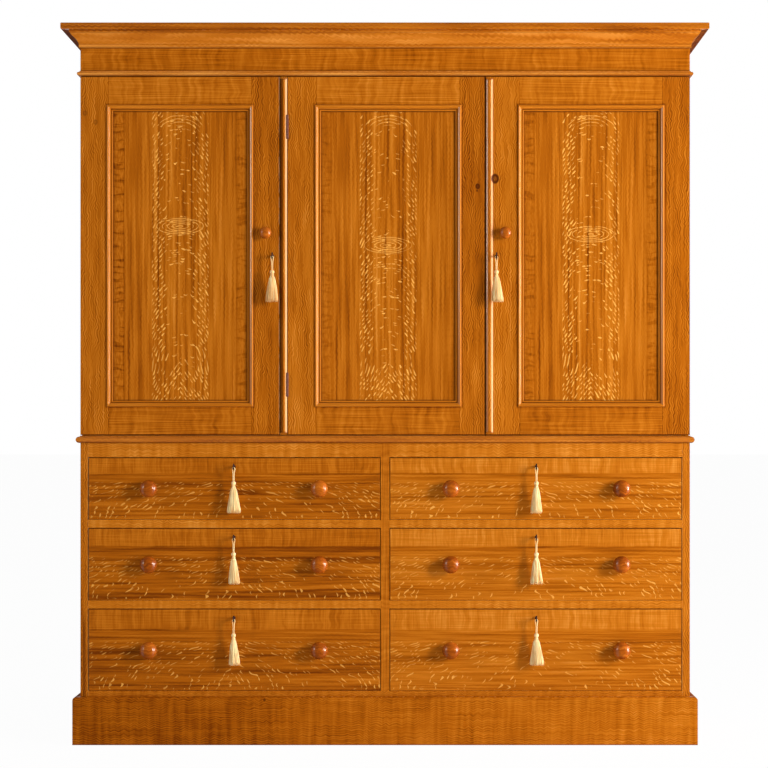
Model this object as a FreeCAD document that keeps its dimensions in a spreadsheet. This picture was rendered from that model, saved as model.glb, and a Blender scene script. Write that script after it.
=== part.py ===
"""Linen press: a three-door cupboard over a chest of six drawers, in painted pine.

The frame has +Z up, the front towards -Y and the origin on the floor under the middle of the
press. Sizes are in millimetres.
"""
import FreeCAD, Part
import os
import re

V = FreeCAD.Vector

# Driving dimensions of the press.
DIMENSIONS = {
    # Outer sizes
    "case_width": 1755, "overall_depth": 540, "cornice_projection": 49,
    "side_thickness": 22, "board_thickness": 22, "back_thickness": 10, "back_boards": 9,
    # Plinth and waist
    "plinth_height": 137, "plinth_projection": 20, "plinth_ledge": 14, "plinth_round": 9,
    "waist_height": 21, "waist_projection": 12, "waist_ledge": 40,
    # Chest of drawers, rows counted from the floor
    "bottom_thickness": 16, "low_row": 237, "middle_row": 209, "top_row": 180,
    "blade_height": 23.5, "blade_depth": 60, "top_rail_height": 41, "muntin_width": 25,
    "runner_width": 24,
    # Drawers
    "drawer_gap": 1.5, "drawer_lift": 0.5, "drawer_top_gap": 2, "front_thickness": 22,
    "lining_thickness": 12, "lining_drop": 6, "drawer_length": 450, "front_lap": 8,
    "tray_thickness": 8, "tray_height": 10, "tray_groove": 6, "tray_start": 12,
    # Cupboard doors
    "door_height": 1032, "door_gap": 2, "door_thickness": 24, "door_clearance": 1,
    "left_door_width": 573, "centre_door_width": 569, "right_door_width": 587,
    "left_field": 75, "centre_field": 78, "right_field": 91, "field_width": 423,
    "door_rail": 81, "moulding_lap": 6, "moulding_width": 18, "panel_setback": 8,
    "panel_thickness": 8, "panel_tongue": 8, "tenon_length": 40, "tenon_inset": 12,
    "mullion_width": 19, "mullion_gap": 3, "hinge_gap": 1.5, "bead_proud": 6,
    "astragal_width": 20, "bead_margin": 5,
    # Cupboard inside
    "shelf_thickness": 20, "shelf_setback": 12, "bearer_size": 20, "shelf_step": 246,
    # Head of the press
    "frieze_height": 80, "neck_height": 14, "neck_projection": 9, "cornice_height": 64,
    "cornice_ledge": 22, "stop_drop": 27,
    # Knobs
    "drawer_knob_radius": 25, "drawer_spigot_radius": 7, "knob_offset": 245,
    "door_knob_radius": 17, "door_spigot_radius": 5,
    "left_knob_x": 534, "right_knob_x": 55, "door_knob_z": 581,
    # Locks, keys and tassels
    "lock_width": 64, "lock_height": 44, "lock_thickness": 12, "lock_cavity_radius": 11,
    "lock_cavity_depth": 10, "lock_edge": 14, "keyhole_drop": 25, "keyhole_radius": 3.5, "slot_width": 3.4,
    "slot_drop": 10, "left_key_x": 554, "right_key_x": 29, "door_key_z": 515,
    "shank_radius": 2.5, "shank_end": 19.5, "bit_drop": 9.5, "bit_length": 7, "bit_width": 2.4,
    "collar_radius": 3.7, "collar_length": 4, "collar_reach": 9,
    "bow_radius": 7, "bow_wire": 1.8, "bow_reach": 27,
    "cord_radius": 1.2, "cord_bend": 3.4, "cord_leg": 36,
    "knot_radius": 6, "knot_height": 15, "skirt_radius": 18, "skirt_length": 78,
    # Butt hinges
    "leaf_width": 20, "leaf_thickness": 1.5, "leaf_height": 69, "leaf_gap": 0.2, "leaf_end_gap": 0.2,
    "knuckle_clearance": 0.4, "pin_clearance": 0.3, "hinge_from_end": 145,
    "outer_axis": 0.5, "outer_knuckle": 2.4, "outer_pin": 1.2,
    "centre_axis": 2, "centre_knuckle": 3.5, "centre_pin": 1.8,
}

doc = FreeCAD.newDocument("linen_press")
sheet = doc.addObject("Spreadsheet::Sheet", "dimensions")
for row, (alias, number) in enumerate(DIMENSIONS.items(), start=1):
    sheet.set(f"A{row}", alias)
    sheet.set(f"B{row}", str(number))
    sheet.setAlias(f"B{row}", alias)
doc.recompute()

ALIAS = re.compile(r"\b(" + "|".join(DIMENSIONS) + r")\b")
NODES = []

# Places that many pieces share, as formulas on the sheet.
HALF = "case_width / 2"
FRONT = "(cornice_projection - overall_depth / 2)"
BACK = "overall_depth / 2"
CASE_DEPTH = "(overall_depth - cornice_projection)"
INNER_WIDTH = "(case_width - 2 * side_thickness)"
OPENING = f"(({INNER_WIDTH} - muntin_width) / 2)"
ROWS = {"low": "low_row", "middle": "middle_row", "top": "top_row"}
ROW_Z = {"low": "(plinth_height + bottom_thickness)"}
ROW_Z["middle"] = f"({ROW_Z['low']} + low_row + blade_height)"
ROW_Z["top"] = f"({ROW_Z['middle']} + middle_row + blade_height)"
TOP_RAIL_Z = f"({ROW_Z['top']} + top_row)"
WAIST_Z = f"({TOP_RAIL_Z} + top_rail_height)"
UPPER_Z = f"({WAIST_Z} + waist_height)"
DOOR_Z = f"({UPPER_Z} + door_gap)"
FRIEZE_Z = f"({DOOR_Z} + door_height + door_gap)"
CORNICE_Z = f"({FRIEZE_Z} + frieze_height)"
CASE_FRONT = f"({FRONT} + door_thickness + door_clearance)"
BACK_INSIDE = f"({BACK} - back_thickness)"
MULLION_X = f"(-{HALF} + left_door_width + mullion_gap)"
DOOR_X = {
    "left": f"(-{HALF})",
    "centre": f"({MULLION_X} + mullion_width + hinge_gap)",
    "right": f"({HALF} - right_door_width)",
}

# The blocks that trim mouldings to a mitre, and the stock left for them.
MITRE_BLOCK = 400
SPARE = 100
# Extra reach of a tool that cuts right through.
THROUGH = 2


def size(alias):
    """A driving dimension as a number."""
    return float(sheet.get(alias))


def bind(obj, prop, formula):
    """Ties a property to a formula on the sheet."""
    obj.setExpression(prop, ALIAS.sub(r"dimensions.\g<0>", str(formula)))


def place(obj, corner):
    """Ties an object's place to three formulas."""
    for axis, formula in zip("xyz", corner):
        bind(obj, f"Placement.Base.{axis}", formula)
    return obj


def board(name, corner, sizes):
    """A rectangular board from its lowest corner and its sizes along X, Y and Z."""
    box = doc.addObject("Part::Box", name)
    for prop, formula in zip(("Length", "Width", "Height"), sizes):
        bind(box, prop, formula)
    return place(box, corner)


def rod(name, start, direction, radius, length):
    """A round rod from a start point along a direction."""
    cylinder = doc.addObject("Part::Cylinder", name)
    cylinder.Placement = FreeCAD.Placement(V(), FreeCAD.Rotation(V(0, 0, 1), direction))
    bind(cylinder, "Radius", radius)
    bind(cylinder, "Height", length)
    return place(cylinder, start)


def group(name, members, corner=None):
    """Separate solids kept together, and moved together where a corner is given."""
    compound = doc.addObject("Part::Compound", name)
    compound.Links = list(members)
    return place(compound, corner) if corner else compound


def cut(name, base, *tools):
    """A piece with the shapes of the tools taken out of it."""
    result = doc.addObject("Part::Cut", name)
    result.Base = base
    result.Tool = tools[0] if len(tools) == 1 else group(name + "_tools", tools)
    return result


def fuse(name, *members):
    """Members that are one solid piece on the real press."""
    result = doc.addObject("Part::MultiFuse", name)
    result.Shapes = list(members)
    return result


def node(name, *members, corner=None):
    """A named sub-part of the press, which gets a file of its own."""
    part = group(name, members, corner)
    part.Label = name
    NODES.append(part)
    return part


def outlined(name, start, steps, plane="XY_Plane"):
    """A body with a closed outline: each step is an end point, or a point on an arc and its end."""
    body = doc.addObject("PartDesign::Body", name)
    sketch = body.newObject("Sketcher::SketchObject", name + "_outline")
    support = next(item for item in body.Origin.OriginFeatures if item.Role == plane)
    sketch.AttachmentSupport = (support, "")
    sketch.MapMode = "FlatFace"
    here = V(*start, 0)
    for step in steps:
        points = [V(*point, 0) for point in step]
        edge = Part.LineSegment(here, points[0]) if len(points) == 1 else Part.Arc(here, *points)
        sketch.addGeometry(edge, False)
        here = points[-1]
    return body, sketch


def padded(name, start, steps, length, plane="XY_Plane"):
    """An outline carried straight for a length."""
    body, sketch = outlined(name, start, steps, plane)
    pad = body.newObject("PartDesign::Pad", name + "_pad")
    pad.Profile = sketch
    bind(pad, "Length", length)
    return body


def turned(name, start, steps):
    """An outline turned about its own vertical axis."""
    body, sketch = outlined(name, start, steps)
    turn = body.newObject("PartDesign::Revolution", name + "_turn")
    turn.Profile = sketch
    turn.ReferenceAxis = (sketch, ["V_Axis"])
    turn.Angle = 360
    return body


def mitre_block(name, at_end, along):
    """A block whose face crosses a run at 45 degrees, through the corner at a place along it."""
    block = doc.addObject("Part::Box", name)
    block.Length = block.Width = block.Height = MITRE_BLOCK
    turn = FreeCAD.Rotation(V(0, 1, 0), -45 if at_end else 45)
    offset = turn.multVec(V(-MITRE_BLOCK / 2, -MITRE_BLOCK / 2, 0 if at_end else -MITRE_BLOCK))
    block.Placement = FreeCAD.Placement(offset, turn)
    bind(block, "Placement.Base.z", f"{offset.z} + {along}")
    return block


def moulding(name, profile, length, corner, outward, upward, start=True, end=True):
    """A moulding run: the profile's first axis points outward and its second upward.

    The run goes along outward x upward from the corner. Where start or end is true, that end
    is mitred, so that what stands outward of the corner is longer and what lies inside shorter.
    """
    stock_length = f"{length} + {SPARE * (start + end)}"
    strip = padded(name + "_stock", *profile, stock_length)
    strip.Placement.Base = V(0, 0, -SPARE if start else 0)
    if start:
        strip = cut(name + "_start", strip, mitre_block(name + "_start_block", False, "0"))
    if end:
        strip = cut(name + "_end", strip, mitre_block(name + "_end_block", True, length))
    turn = FreeCAD.Rotation(outward, upward, outward.cross(upward), "XYZ")
    strip = group(name, [strip])
    strip.Placement = FreeCAD.Placement(V(), turn)
    return place(strip, corner)


def case_moulding(name, profile, level):
    """The same moulding along the front and back along both sides, mitred at the front."""
    front = moulding(name + "_front", profile, "case_width", (HALF, FRONT, level), V(0, -1, 0), V(0, 0, 1))
    left = moulding(name + "_left", profile, CASE_DEPTH, (f"-{HALF}", FRONT, level),
                    V(-1, 0, 0), V(0, 0, 1), end=False)
    right = moulding(name + "_right", profile, CASE_DEPTH, (HALF, BACK, level),
                     V(1, 0, 0), V(0, 0, 1), start=False)
    return [front, left, right]


def plinth():
    """A plinth with a rounded top edge, a ledge under the case and a back rail."""
    reach, ledge = size("plinth_projection"), size("plinth_ledge")
    height, radius = size("plinth_height"), size("plinth_round")
    bend = radius * (1 - 0.5 ** 0.5)
    profile = ((-ledge, 0), [
        [(reach, 0)],
        [(reach, height - radius)],
        [(reach - bend, height - bend), (reach - radius, height)],
        [(-ledge, height)],
        [(-ledge, 0)],
    ])
    strips = case_moulding("plinth_board", profile, "0")
    inside = "(case_width - 2 * plinth_ledge)"
    back = board("plinth_back", (f"-{HALF} + plinth_ledge", f"{BACK} - board_thickness", "0"),
                 (inside, "board_thickness", "plinth_height"))
    node("plinth", *strips, back)


def waist():
    """A nosed frame between the chest and the cupboard."""
    reach, ledge, height = size("waist_projection"), size("waist_ledge"), size("waist_height")
    fillet = 2.5
    profile = ((-ledge, 0), [
        [(reach - height / 2, 0)],
        [(reach, height / 2 - fillet / 2), (reach - height / 2, height - fillet)],
        [(reach - height / 2, height)],
        [(-ledge, height)],
        [(-ledge, 0)],
    ])
    strips = case_moulding("waist_strip", profile, WAIST_Z)
    back = board("waist_back", (f"-{HALF} + waist_ledge", f"{BACK} - waist_ledge", WAIST_Z),
                 ("case_width - 2 * waist_ledge", "waist_ledge", "waist_height"))
    node("waist_moulding", *strips, back)


def head():
    """Frieze board, neck bead and the cornice with its cavetto, soffit and top fillet."""
    frieze = board("frieze_front", (f"-{HALF}", FRONT, FRIEZE_Z),
                   ("case_width", "door_thickness + door_clearance", "frieze_height"))
    node("frieze_board", frieze)

    reach, height = size("neck_projection"), size("neck_height")
    fillet = 3
    bead = (height - fillet) / 2
    neck = ((0, 0), [
        [(reach - bead, 0)],
        [(reach, bead), (reach - bead, 2 * bead)],
        [(reach - bead - 1, 2 * bead)],
        [(reach - bead - 1, height)],
        [(0, height)],
        [(0, 0)],
    ])
    node("neck_moulding", *case_moulding("neck_strip", neck, FRIEZE_Z))

    reach, height, ledge = size("cornice_projection"), size("cornice_height"), size("cornice_ledge")
    low_fillet, soffit, corner = 9, 46, 2.5
    foot, throat = 4, 29
    waist_point = ((foot + throat) / 2, (low_fillet + soffit) / 2 + 2)
    bend = corner * (1 - 0.5 ** 0.5)
    cornice = ((-ledge, 0), [
        [(foot, 0)],
        [(foot, low_fillet)],
        [(foot + 4, low_fillet + 11), waist_point],
        [(throat - 3, soffit - 7), (throat, soffit)],
        [(reach - corner, soffit)],
        [(reach - bend, soffit + bend), (reach, soffit + corner)],
        [(reach, height - corner)],
        [(reach - bend, height - bend), (reach - corner, height)],
        [(-ledge, height)],
        [(-ledge, 0)],
    ])
    strips = case_moulding("cornice_strip", cornice, CORNICE_Z)
    back = board("cornice_back", (f"-{HALF} + cornice_ledge", f"{BACK} - cornice_ledge", CORNICE_Z),
                 ("case_width - 2 * cornice_ledge", "cornice_ledge", "cornice_height"))
    node("cornice", *strips, back)


def case_sides(name, front, level, height, recesses=()):
    """A pair of sides, each rebated at the back for the back boards."""
    sides = []
    for side, x in (("left", f"-{HALF}"), ("right", f"{HALF} - side_thickness")):
        plank = board(f"{name}_{side}_plank", (x, front, level),
                      ("side_thickness", f"{BACK} - {front}", height))
        inner = f"{x} + side_thickness / 2" if side == "left" else x
        rebate = board(f"{name}_{side}_rebate", (inner, BACK_INSIDE, level),
                       ("side_thickness / 2", "back_thickness", height))
        sides.append(cut(f"{name}_{side}", plank, rebate, *[r for s, r in recesses if s == side]))
    node(name, *sides)


def back_boards():
    """Upright boards let into the rebates behind both cases."""
    boards = []
    width = f"(({INNER_WIDTH} + side_thickness) / back_boards)"
    for case, level, height in (("lower", "plinth_height", f"{WAIST_Z} - plinth_height"),
                                ("upper", UPPER_Z, f"{CORNICE_Z} - {UPPER_Z}")):
        for count in range(int(size("back_boards"))):
            x = f"-{HALF} + side_thickness / 2 + {count} * {width}"
            boards.append(board(f"{case}_back_{count}", (x, BACK_INSIDE, level),
                                (width, "back_thickness", height)))
    node("back_boards", *boards)


def chest_boards():
    """Bottom, top and middle partition of the chest, and its rails and runners."""
    inside = f"(-{HALF} + side_thickness)"
    bottom = board("chest_bottom", (inside, FRONT, "plinth_height"),
                   (INNER_WIDTH, f"{BACK_INSIDE} - {FRONT}", "bottom_thickness"))
    top = board("chest_top", (inside, f"{FRONT} + front_thickness", f"{WAIST_Z} - board_thickness"),
                (INNER_WIDTH, f"{BACK_INSIDE} - {FRONT} - front_thickness", "board_thickness"))
    middle = board("chest_middle", ("-muntin_width / 2", f"{FRONT} + blade_depth", ROW_Z["low"]),
                   ("muntin_width", f"{BACK_INSIDE} - {FRONT} - blade_depth",
                    f"{WAIST_Z} - board_thickness - {ROW_Z['low']}"))
    node("chest_boards", bottom, top, middle)

    rail = board("top_rail", (inside, FRONT, TOP_RAIL_Z),
                 (INNER_WIDTH, "front_thickness", "top_rail_height"))
    muntin = board("muntin", ("-muntin_width / 2", FRONT, ROW_Z["low"]),
                   ("muntin_width", "blade_depth", f"{TOP_RAIL_Z} - {ROW_Z['low']}"))
    blades, runners = [], []
    for name in ("middle", "top"):
        level = f"{ROW_Z[name]} - blade_height"
        for side, x in (("left", inside), ("right", "muntin_width / 2")):
            blades.append(board(f"{name}_{side}_blade", (x, FRONT, level),
                                (OPENING, "blade_depth", "blade_height")))
            for edge, shift in (("near", "0"), ("far", f"{OPENING} - runner_width")):
                runners.append(board(f"{name}_{side}_{edge}_runner",
                                     (f"{x} + {shift}", f"{FRONT} + blade_depth", level),
                                     ("runner_width", f"{BACK_INSIDE} - {FRONT} - blade_depth",
                                      "blade_height")))
    node("drawer_rails", rail, muntin, *blades)
    node("drawer_runners", *runners)


def cupboard_boards():
    """Bottom, stop board and roof of the cupboard, its partition and its shelves."""
    inside = f"(-{HALF} + side_thickness)"
    depth = f"{BACK_INSIDE} - {CASE_FRONT}"
    top_z = f"({FRIEZE_Z} - stop_drop)"
    bottom = board("cupboard_bottom", (inside, CASE_FRONT, UPPER_Z), (INNER_WIDTH, depth, "board_thickness"))
    stop = board("cupboard_top", (inside, CASE_FRONT, top_z), (INNER_WIDTH, depth, "board_thickness"))
    roof = board("cupboard_roof", (inside, CASE_FRONT, f"{CORNICE_Z} - bottom_thickness"),
                 (INNER_WIDTH, depth, "bottom_thickness"))
    node("cupboard_boards", bottom, stop, roof)

    floor_z = f"({UPPER_Z} + board_thickness)"
    plank = board("partition_plank", (MULLION_X, CASE_FRONT, floor_z),
                  ("mullion_width", depth, f"{top_z} - {floor_z}"))
    post = board("mullion_post", (MULLION_X, FRONT, DOOR_Z),
                 ("mullion_width", "door_thickness + door_clearance", "door_height"))
    post = cut("mullion", post, *centre_hinge_recesses("mullion"))
    bead = bead_strip("mullion_bead_strip", "mullion_width", (f"{MULLION_X} + mullion_width", FRONT,
                                                              f"{DOOR_Z} + bead_margin"))
    bead = cut("mullion_bead", bead, *knuckle_notches("bead", "centre", CENTRE_AXIS))
    node("partition", plank, post, bead)

    shelves = []
    for side, left, right in (("left", inside, MULLION_X),
                              ("right", f"({MULLION_X} + mullion_width)", f"({HALF} - side_thickness)")):
        for count in range(1, 4):
            level = f"{floor_z} + {count} * shelf_step - shelf_thickness"
            front = f"{CASE_FRONT} + shelf_setback"
            shelf_depth = f"{depth} - shelf_setback"
            shelves.append(board(f"{side}_shelf_{count}", (left, front, level),
                                 (f"{right} - {left}", shelf_depth, "shelf_thickness")))
            for edge, x in (("near", left), ("far", f"{right} - bearer_size")):
                shelves.append(board(f"{side}_{edge}_bearer_{count}", (x, front, f"{level} - bearer_size"),
                                     ("bearer_size", shelf_depth, "bearer_size")))
    node("shelves", *shelves)


def bead_strip(name, width, corner):
    """A half-round bead up a door edge, with sloping ends; the corner is its lower right foot."""
    proud, wide = size("bead_proud"), size(width)
    fillet = 1.5
    profile = ((0, 0), [
        [(-fillet, 0)],
        [(-proud, wide / 2), (-fillet, wide)],
        [(0, wide)],
        [(0, 0)],
    ])
    return moulding(name, profile, "door_height - 2 * bead_margin", corner, V(0, 1, 0), V(-1, 0, 0))


def panel_mouldings():
    """Four mitred strips round a door panel: a roll over the frame, a slope and a small bead."""
    wide, lap, sunk = size("moulding_width"), size("moulding_lap"), size("panel_setback")
    roll, slope_end, bead_top = 4.5, -wide + 6, -2.6
    profile = ((0, 0), [
        [(-1.6, roll - 1.2), (-4, roll)],
        [(-7, roll - 1.2), (slope_end, -4.4)],
        [(-wide + 3, bead_top), (-wide, -5.4)],
        [(-wide, -sunk)],
        [(-lap, -sunk)],
        [(-lap, 0)],
        [(0, 0)],
    ])
    high = "(door_height - 2 * door_rail)"
    forward = V(0, -1, 0)
    return [
        moulding("field_bottom", profile, "field_width", ("field_width", "0", "0"), V(0, 0, -1), forward),
        moulding("field_top", profile, "field_width", ("0", "0", high), V(0, 0, 1), forward),
        moulding("field_left", profile, high, ("0", "0", "0"), V(-1, 0, 0), forward),
        moulding("field_right", profile, high, ("field_width", "0", high), V(1, 0, 0), forward),
    ]


def knob(name):
    """A turned knob on a spigot, pointing along its own +Y from the face it is fixed to.

    The outline is drawn for a knob of 25 mm radius and scaled to the knob's own.
    """
    unit = size(f"{name}_radius") / 25
    spigot = size(name.replace("knob", "spigot") + "_radius")
    depth = -size("front_thickness")

    def at(r, y):
        return (r * unit, y * unit)

    return turned(f"{name}_turning", (0, depth), [
        [(spigot, depth)],
        [(spigot, 0)],
        [at(14, 0)],
        [at(14, 2.5)],
        [at(10.2, 7.5), at(12, 12)],
        [at(21, 13.85), at(25, 22)],
        [at(18.53, 37.6), at(1, 44)],
        [at(0, 44)],
        [(0, depth)],
    ])


def lock_parts(name, centre_z, face, reach):
    """A lock case with a round chamber for the key's bit, and the tools that make room for it.

    The keyhole is at x 0; the lock's front is `face` behind the wood's face, and `reach` is how
    far the case stands to the left of the keyhole.
    """
    case = board(name + "_case", (f"-{reach}", face, f"{centre_z} - lock_height / 2"),
                 ("lock_width", "lock_thickness", "lock_height"))
    chamber = rod(name + "_chamber", ("0", f"{face} - {THROUGH}", centre_z), V(0, 1, 0),
                  "lock_cavity_radius", f"lock_cavity_depth + {THROUGH}")
    hole = rod(name + "_hole", ("0", f"-{THROUGH}", centre_z), V(0, 1, 0),
               "keyhole_radius", f"{face} + 2 * {THROUGH}")
    slot = board(name + "_slot", ("-slot_width / 2", f"-{THROUGH}", f"{centre_z} - slot_drop"),
                 ("slot_width", f"{face} + 2 * {THROUGH}", "slot_drop"))
    return cut(name, case, chamber), [case, fuse(name + "_keyhole", hole, slot)]


def key_shape():
    """A key with a ring bow seen edge on, its shank along Y and its bit hanging down."""
    shank = rod("key_shank", ("0", "bow_radius - bow_reach", "0"), V(0, 1, 0),
                "shank_radius", "bow_reach - bow_radius + shank_end")
    bow = doc.addObject("Part::Torus", "key_bow")
    bind(bow, "Radius1", "bow_radius")
    bind(bow, "Radius2", "bow_wire")
    bow.Placement = FreeCAD.Placement(V(), FreeCAD.Rotation(V(0, 1, 0), 90))
    place(bow, ("0", "-bow_reach", "0"))
    collar = rod("key_collar", ("0", "-collar_reach", "0"), V(0, 1, 0), "collar_radius", "collar_length")
    bit = board("key_bit", ("-bit_width / 2", "shank_end - bit_length", "-bit_drop"),
                ("bit_width", "bit_length", "bit_drop"))
    return fuse("key_shape", shank, bow, collar, bit)


def tassel_shapes():
    """A cord looped through the bow, a wound knot and a spreading skirt, hanging from the key."""
    rim = "-bow_radius"
    foot = f"{rim} - cord_leg"
    legs = [rod(f"cord_leg_{sign}", (f"{sign}cord_bend", "-bow_reach", foot), V(0, 0, 1),
                "cord_radius", "cord_leg") for sign in ("-", "+")]
    bend = doc.addObject("Part::Torus", "cord_bend_over_bow")
    bind(bend, "Radius1", "cord_bend")
    bind(bend, "Radius2", "cord_radius")
    bend.Angle3 = 180
    bend.Placement = FreeCAD.Placement(V(), FreeCAD.Rotation(V(1, 0, 0), 90))
    place(bend, ("0", "-bow_reach", rim))
    cord = fuse("tassel_cord", bend, *legs)

    radius, height = size("knot_radius"), size("knot_height")
    skirt, length = size("skirt_radius"), size("skirt_length")
    drop = -size("bow_radius") - size("cord_leg")
    hang = drop - height
    knot = turned("tassel_knot", (0, drop), [
        [(0, hang)],
        [(radius - 1.5, hang)],
        [(radius + 0.5, drop - height / 2), (radius - 1, drop)],
        [(0, drop)],
    ])
    fringe = turned("tassel_skirt", (0, hang), [
        [(0, hang - length)],
        [(skirt, hang - length)],
        [(0.72 * skirt, hang - 0.45 * length), (radius - 1.5, hang)],
        [(0, hang)],
    ])
    stand = FreeCAD.Rotation(V(1, 0, 0), 90)
    for piece in (knot, fringe):
        piece.Placement = FreeCAD.Placement(V(0, -size("bow_reach"), 0), stand)
    return [cord, knot, fringe]


def drawer_side(row):
    """A drawer side with tails at its front end that lap into the front."""
    height = size(ROWS[row]) - size("drawer_top_gap") - size("lining_drop")
    root, tip, end = size("front_thickness"), size("front_lap"), size("drawer_length")
    tails = round(height / 55)
    pitch = height / tails
    wide, narrow = 0.31 * pitch, 0.25 * pitch
    steps = [[(end, 0)], [(end, height)], [(root, height)]]
    for count in reversed(range(tails)):
        middle = (count + 0.5) * pitch
        steps += [[(root, middle + narrow)], [(tip, middle + wide)], [(tip, middle - wide)],
                  [(root, middle - narrow)]]
    return padded(f"{row}_side_stock", (root, 0), steps + [[(root, 0)]], "lining_thickness", "YZ_Plane")


def drawer_row(row, knob_shape, key, tassel):
    """The pieces of one row's drawer, about its own front, and then both drawers of the row."""
    width = f"({OPENING} - 2 * drawer_gap)"
    height = f"({ROWS[row]} - drawer_top_gap)"
    lining = f"({height} - lining_drop)"
    key_z = f"({height} - keyhole_drop)"
    left = f"(-{width} / 2)"
    right = f"({width} / 2 - lining_thickness)"

    tray = board(f"{row}_tray", (f"{left} + tray_groove", "tray_start", "tray_height"),
                 (f"{width} - 2 * tray_groove", "drawer_length - tray_start", "tray_thickness"))
    stock = drawer_side(row)
    stocks = [group(f"{row}_{side}_tails", [stock], (x, "0", "0"))
              for side, x in (("left", left), ("right", right))]
    sides = [cut(f"{piece.Name}_side", piece, tray) for piece in stocks]
    back = board(f"{row}_back", (f"{left} + lining_thickness", "drawer_length - 2 * lining_thickness",
                                 "tray_height + tray_thickness"),
                 (f"{width} - 2 * lining_thickness", "lining_thickness",
                  f"{lining} - tray_height - tray_thickness - lining_drop"))
    lock, lock_room = lock_parts(f"{row}_lock", key_z, "(front_thickness - lock_thickness)", "lock_width / 2")
    knobs = []
    spigots = []
    for sign in ("-", "+"):
        spot = (f"{sign}knob_offset", "0", f"{height} / 2")
        knobs.append(group(f"{row}_knob_{len(knobs)}", [knob_shape], spot))
        spigots.append(rod(f"{row}_spigot_{len(knobs)}", (spot[0], f"-{THROUGH}", spot[2]), V(0, 1, 0),
                           "drawer_spigot_radius", f"front_thickness + 2 * {THROUGH}"))
    face = board(f"{row}_face", (left, "0", "0"), (width, "front_thickness", height))
    front = cut(f"{row}_front", face, *stocks, tray, *lock_room, *spigots)

    column = f"(muntin_width + {OPENING}) / 2"
    for side, x in (("left", f"-{column}"), ("right", column)):
        corner = (x, FRONT, f"{ROW_Z[row]} + drawer_lift")
        name = f"{row}_{side}_drawer"
        node(f"{name}_front", front, corner=corner)
        node(f"{name}_box", *sides, back, tray, corner=corner)
        node(f"{name}_fittings", *knobs, lock, corner=corner)
        key_corner = (x, FRONT, f"{ROW_Z[row]} + drawer_lift + {key_z}")
        node(f"{name}_key", key, corner=key_corner)
        node(f"{name}_tassel", *tassel, corner=key_corner)


HINGE_LEVELS = {"low": "hinge_from_end", "high": "(door_height - hinge_from_end)"}


def leaf(name, kind, axis, across, front, level, carries_pin):
    """A leaf of an outer or centre hinge, with its knuckles about a vertical axis.

    The plate lies `across` X or Y of the axis, and starts clear of the other leaf's knuckles;
    `front` places its thickness. The leaf that carries the pin has the outer two knuckles.
    """
    x, y = axis
    third = "(leaf_height / 3)"
    clear = f"({kind}_knuckle + knuckle_clearance)"
    low = f"({level} - leaf_height / 2)"
    along, sign = across

    def plate(tag, start, length, bottom, height):
        corner = f"{x} + {start}" if sign > 0 else f"{x} - {start} - {length}"
        if along == "x":
            return board(f"{name}_{tag}", (corner, front, bottom), (length, "leaf_thickness", height))
        return board(f"{name}_{tag}", (front, f"{y} + {start}", bottom), ("leaf_thickness", length, height))

    pieces = [plate("plate", clear, f"(leaf_width - {clear})", low, "leaf_height")]
    bottoms = [low, f"{low} + 2 * {third}"] if carries_pin else [f"{low} + {third}"]
    gap = "leaf_gap"
    for count, bottom in enumerate(bottoms):
        pieces.append(plate(f"neck_{count}", "0", clear, f"{bottom} + {gap}", f"{third} - 2 * {gap}"))
        pieces.append(rod(f"{name}_knuckle_{count}", (x, y, f"{bottom} + {gap}"), V(0, 0, 1),
                          f"{kind}_knuckle", f"{third} - 2 * {gap}"))
    if carries_pin:
        pieces.append(rod(f"{name}_pin", (x, y, low), V(0, 0, 1), f"{kind}_pin", "leaf_height"))
        return fuse(name, *pieces)
    bore = rod(f"{name}_bore", (x, y, low), V(0, 0, 1), f"{kind}_pin + pin_clearance", "leaf_height")
    return cut(name, fuse(f"{name}_whole", *pieces), bore)


BEHIND_DOORS = f"({FRONT} + door_thickness + door_clearance / 2)"
OUTER_AXIS = {
    "left": (f"(-{HALF} - outer_axis)", BEHIND_DOORS),
    "right": (f"({HALF} + outer_axis)", BEHIND_DOORS),
}
CENTRE_AXIS = (f"({DOOR_X['centre']} - hinge_gap / 2)", f"({FRONT} - centre_axis)")


def hinge_pair(door):
    """Fixed and moving leaves of a door's two hinges."""
    fixed, moving = [], []
    for tag, height in HINGE_LEVELS.items():
        level = f"({DOOR_Z} + {height})"
        if door == "centre":
            kind, axis, inward = "centre", CENTRE_AXIS, ("y", 1)
            fixed_front = f"{axis[0]} - leaf_gap - leaf_thickness"
            moving_front = f"{axis[0]} + leaf_gap"
        else:
            kind, axis, inward = "outer", OUTER_AXIS[door], ("x", 1 if door == "left" else -1)
            fixed_front = f"{axis[1]} + leaf_gap"
            moving_front = f"{axis[1]} - leaf_gap - leaf_thickness"
        fixed.append(leaf(f"{door}_{tag}_fixed", kind, axis, inward, fixed_front, level, True))
        moving.append(leaf(f"{door}_{tag}_moving", kind, axis, inward, moving_front, level, False))
    return fixed, moving


def knuckle_notches(part, kind, axis):
    """Round notches for the knuckles of a door's two hinges."""
    return [rod(f"{part}_{tag}_notch", (*axis, f"{DOOR_Z} + {height} - leaf_height / 2"), V(0, 0, 1),
                f"{kind}_knuckle + knuckle_clearance", "leaf_height") for tag, height in HINGE_LEVELS.items()]


def hinge_recesses(part, kind, axis, corner, sizes):
    """At both hinges of a door, a flat recess for a leaf with a round notch for the knuckles."""
    rooms = []
    for (tag, height), notch in zip(HINGE_LEVELS.items(), knuckle_notches(part, kind, axis)):
        slab = board(f"{part}_{tag}_slab", (*corner, f"{DOOR_Z} + {height} - leaf_height / 2"),
                     (*sizes, "leaf_height"))
        rooms.append(fuse(f"{part}_{tag}_room", notch, slab))
    return rooms


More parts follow.
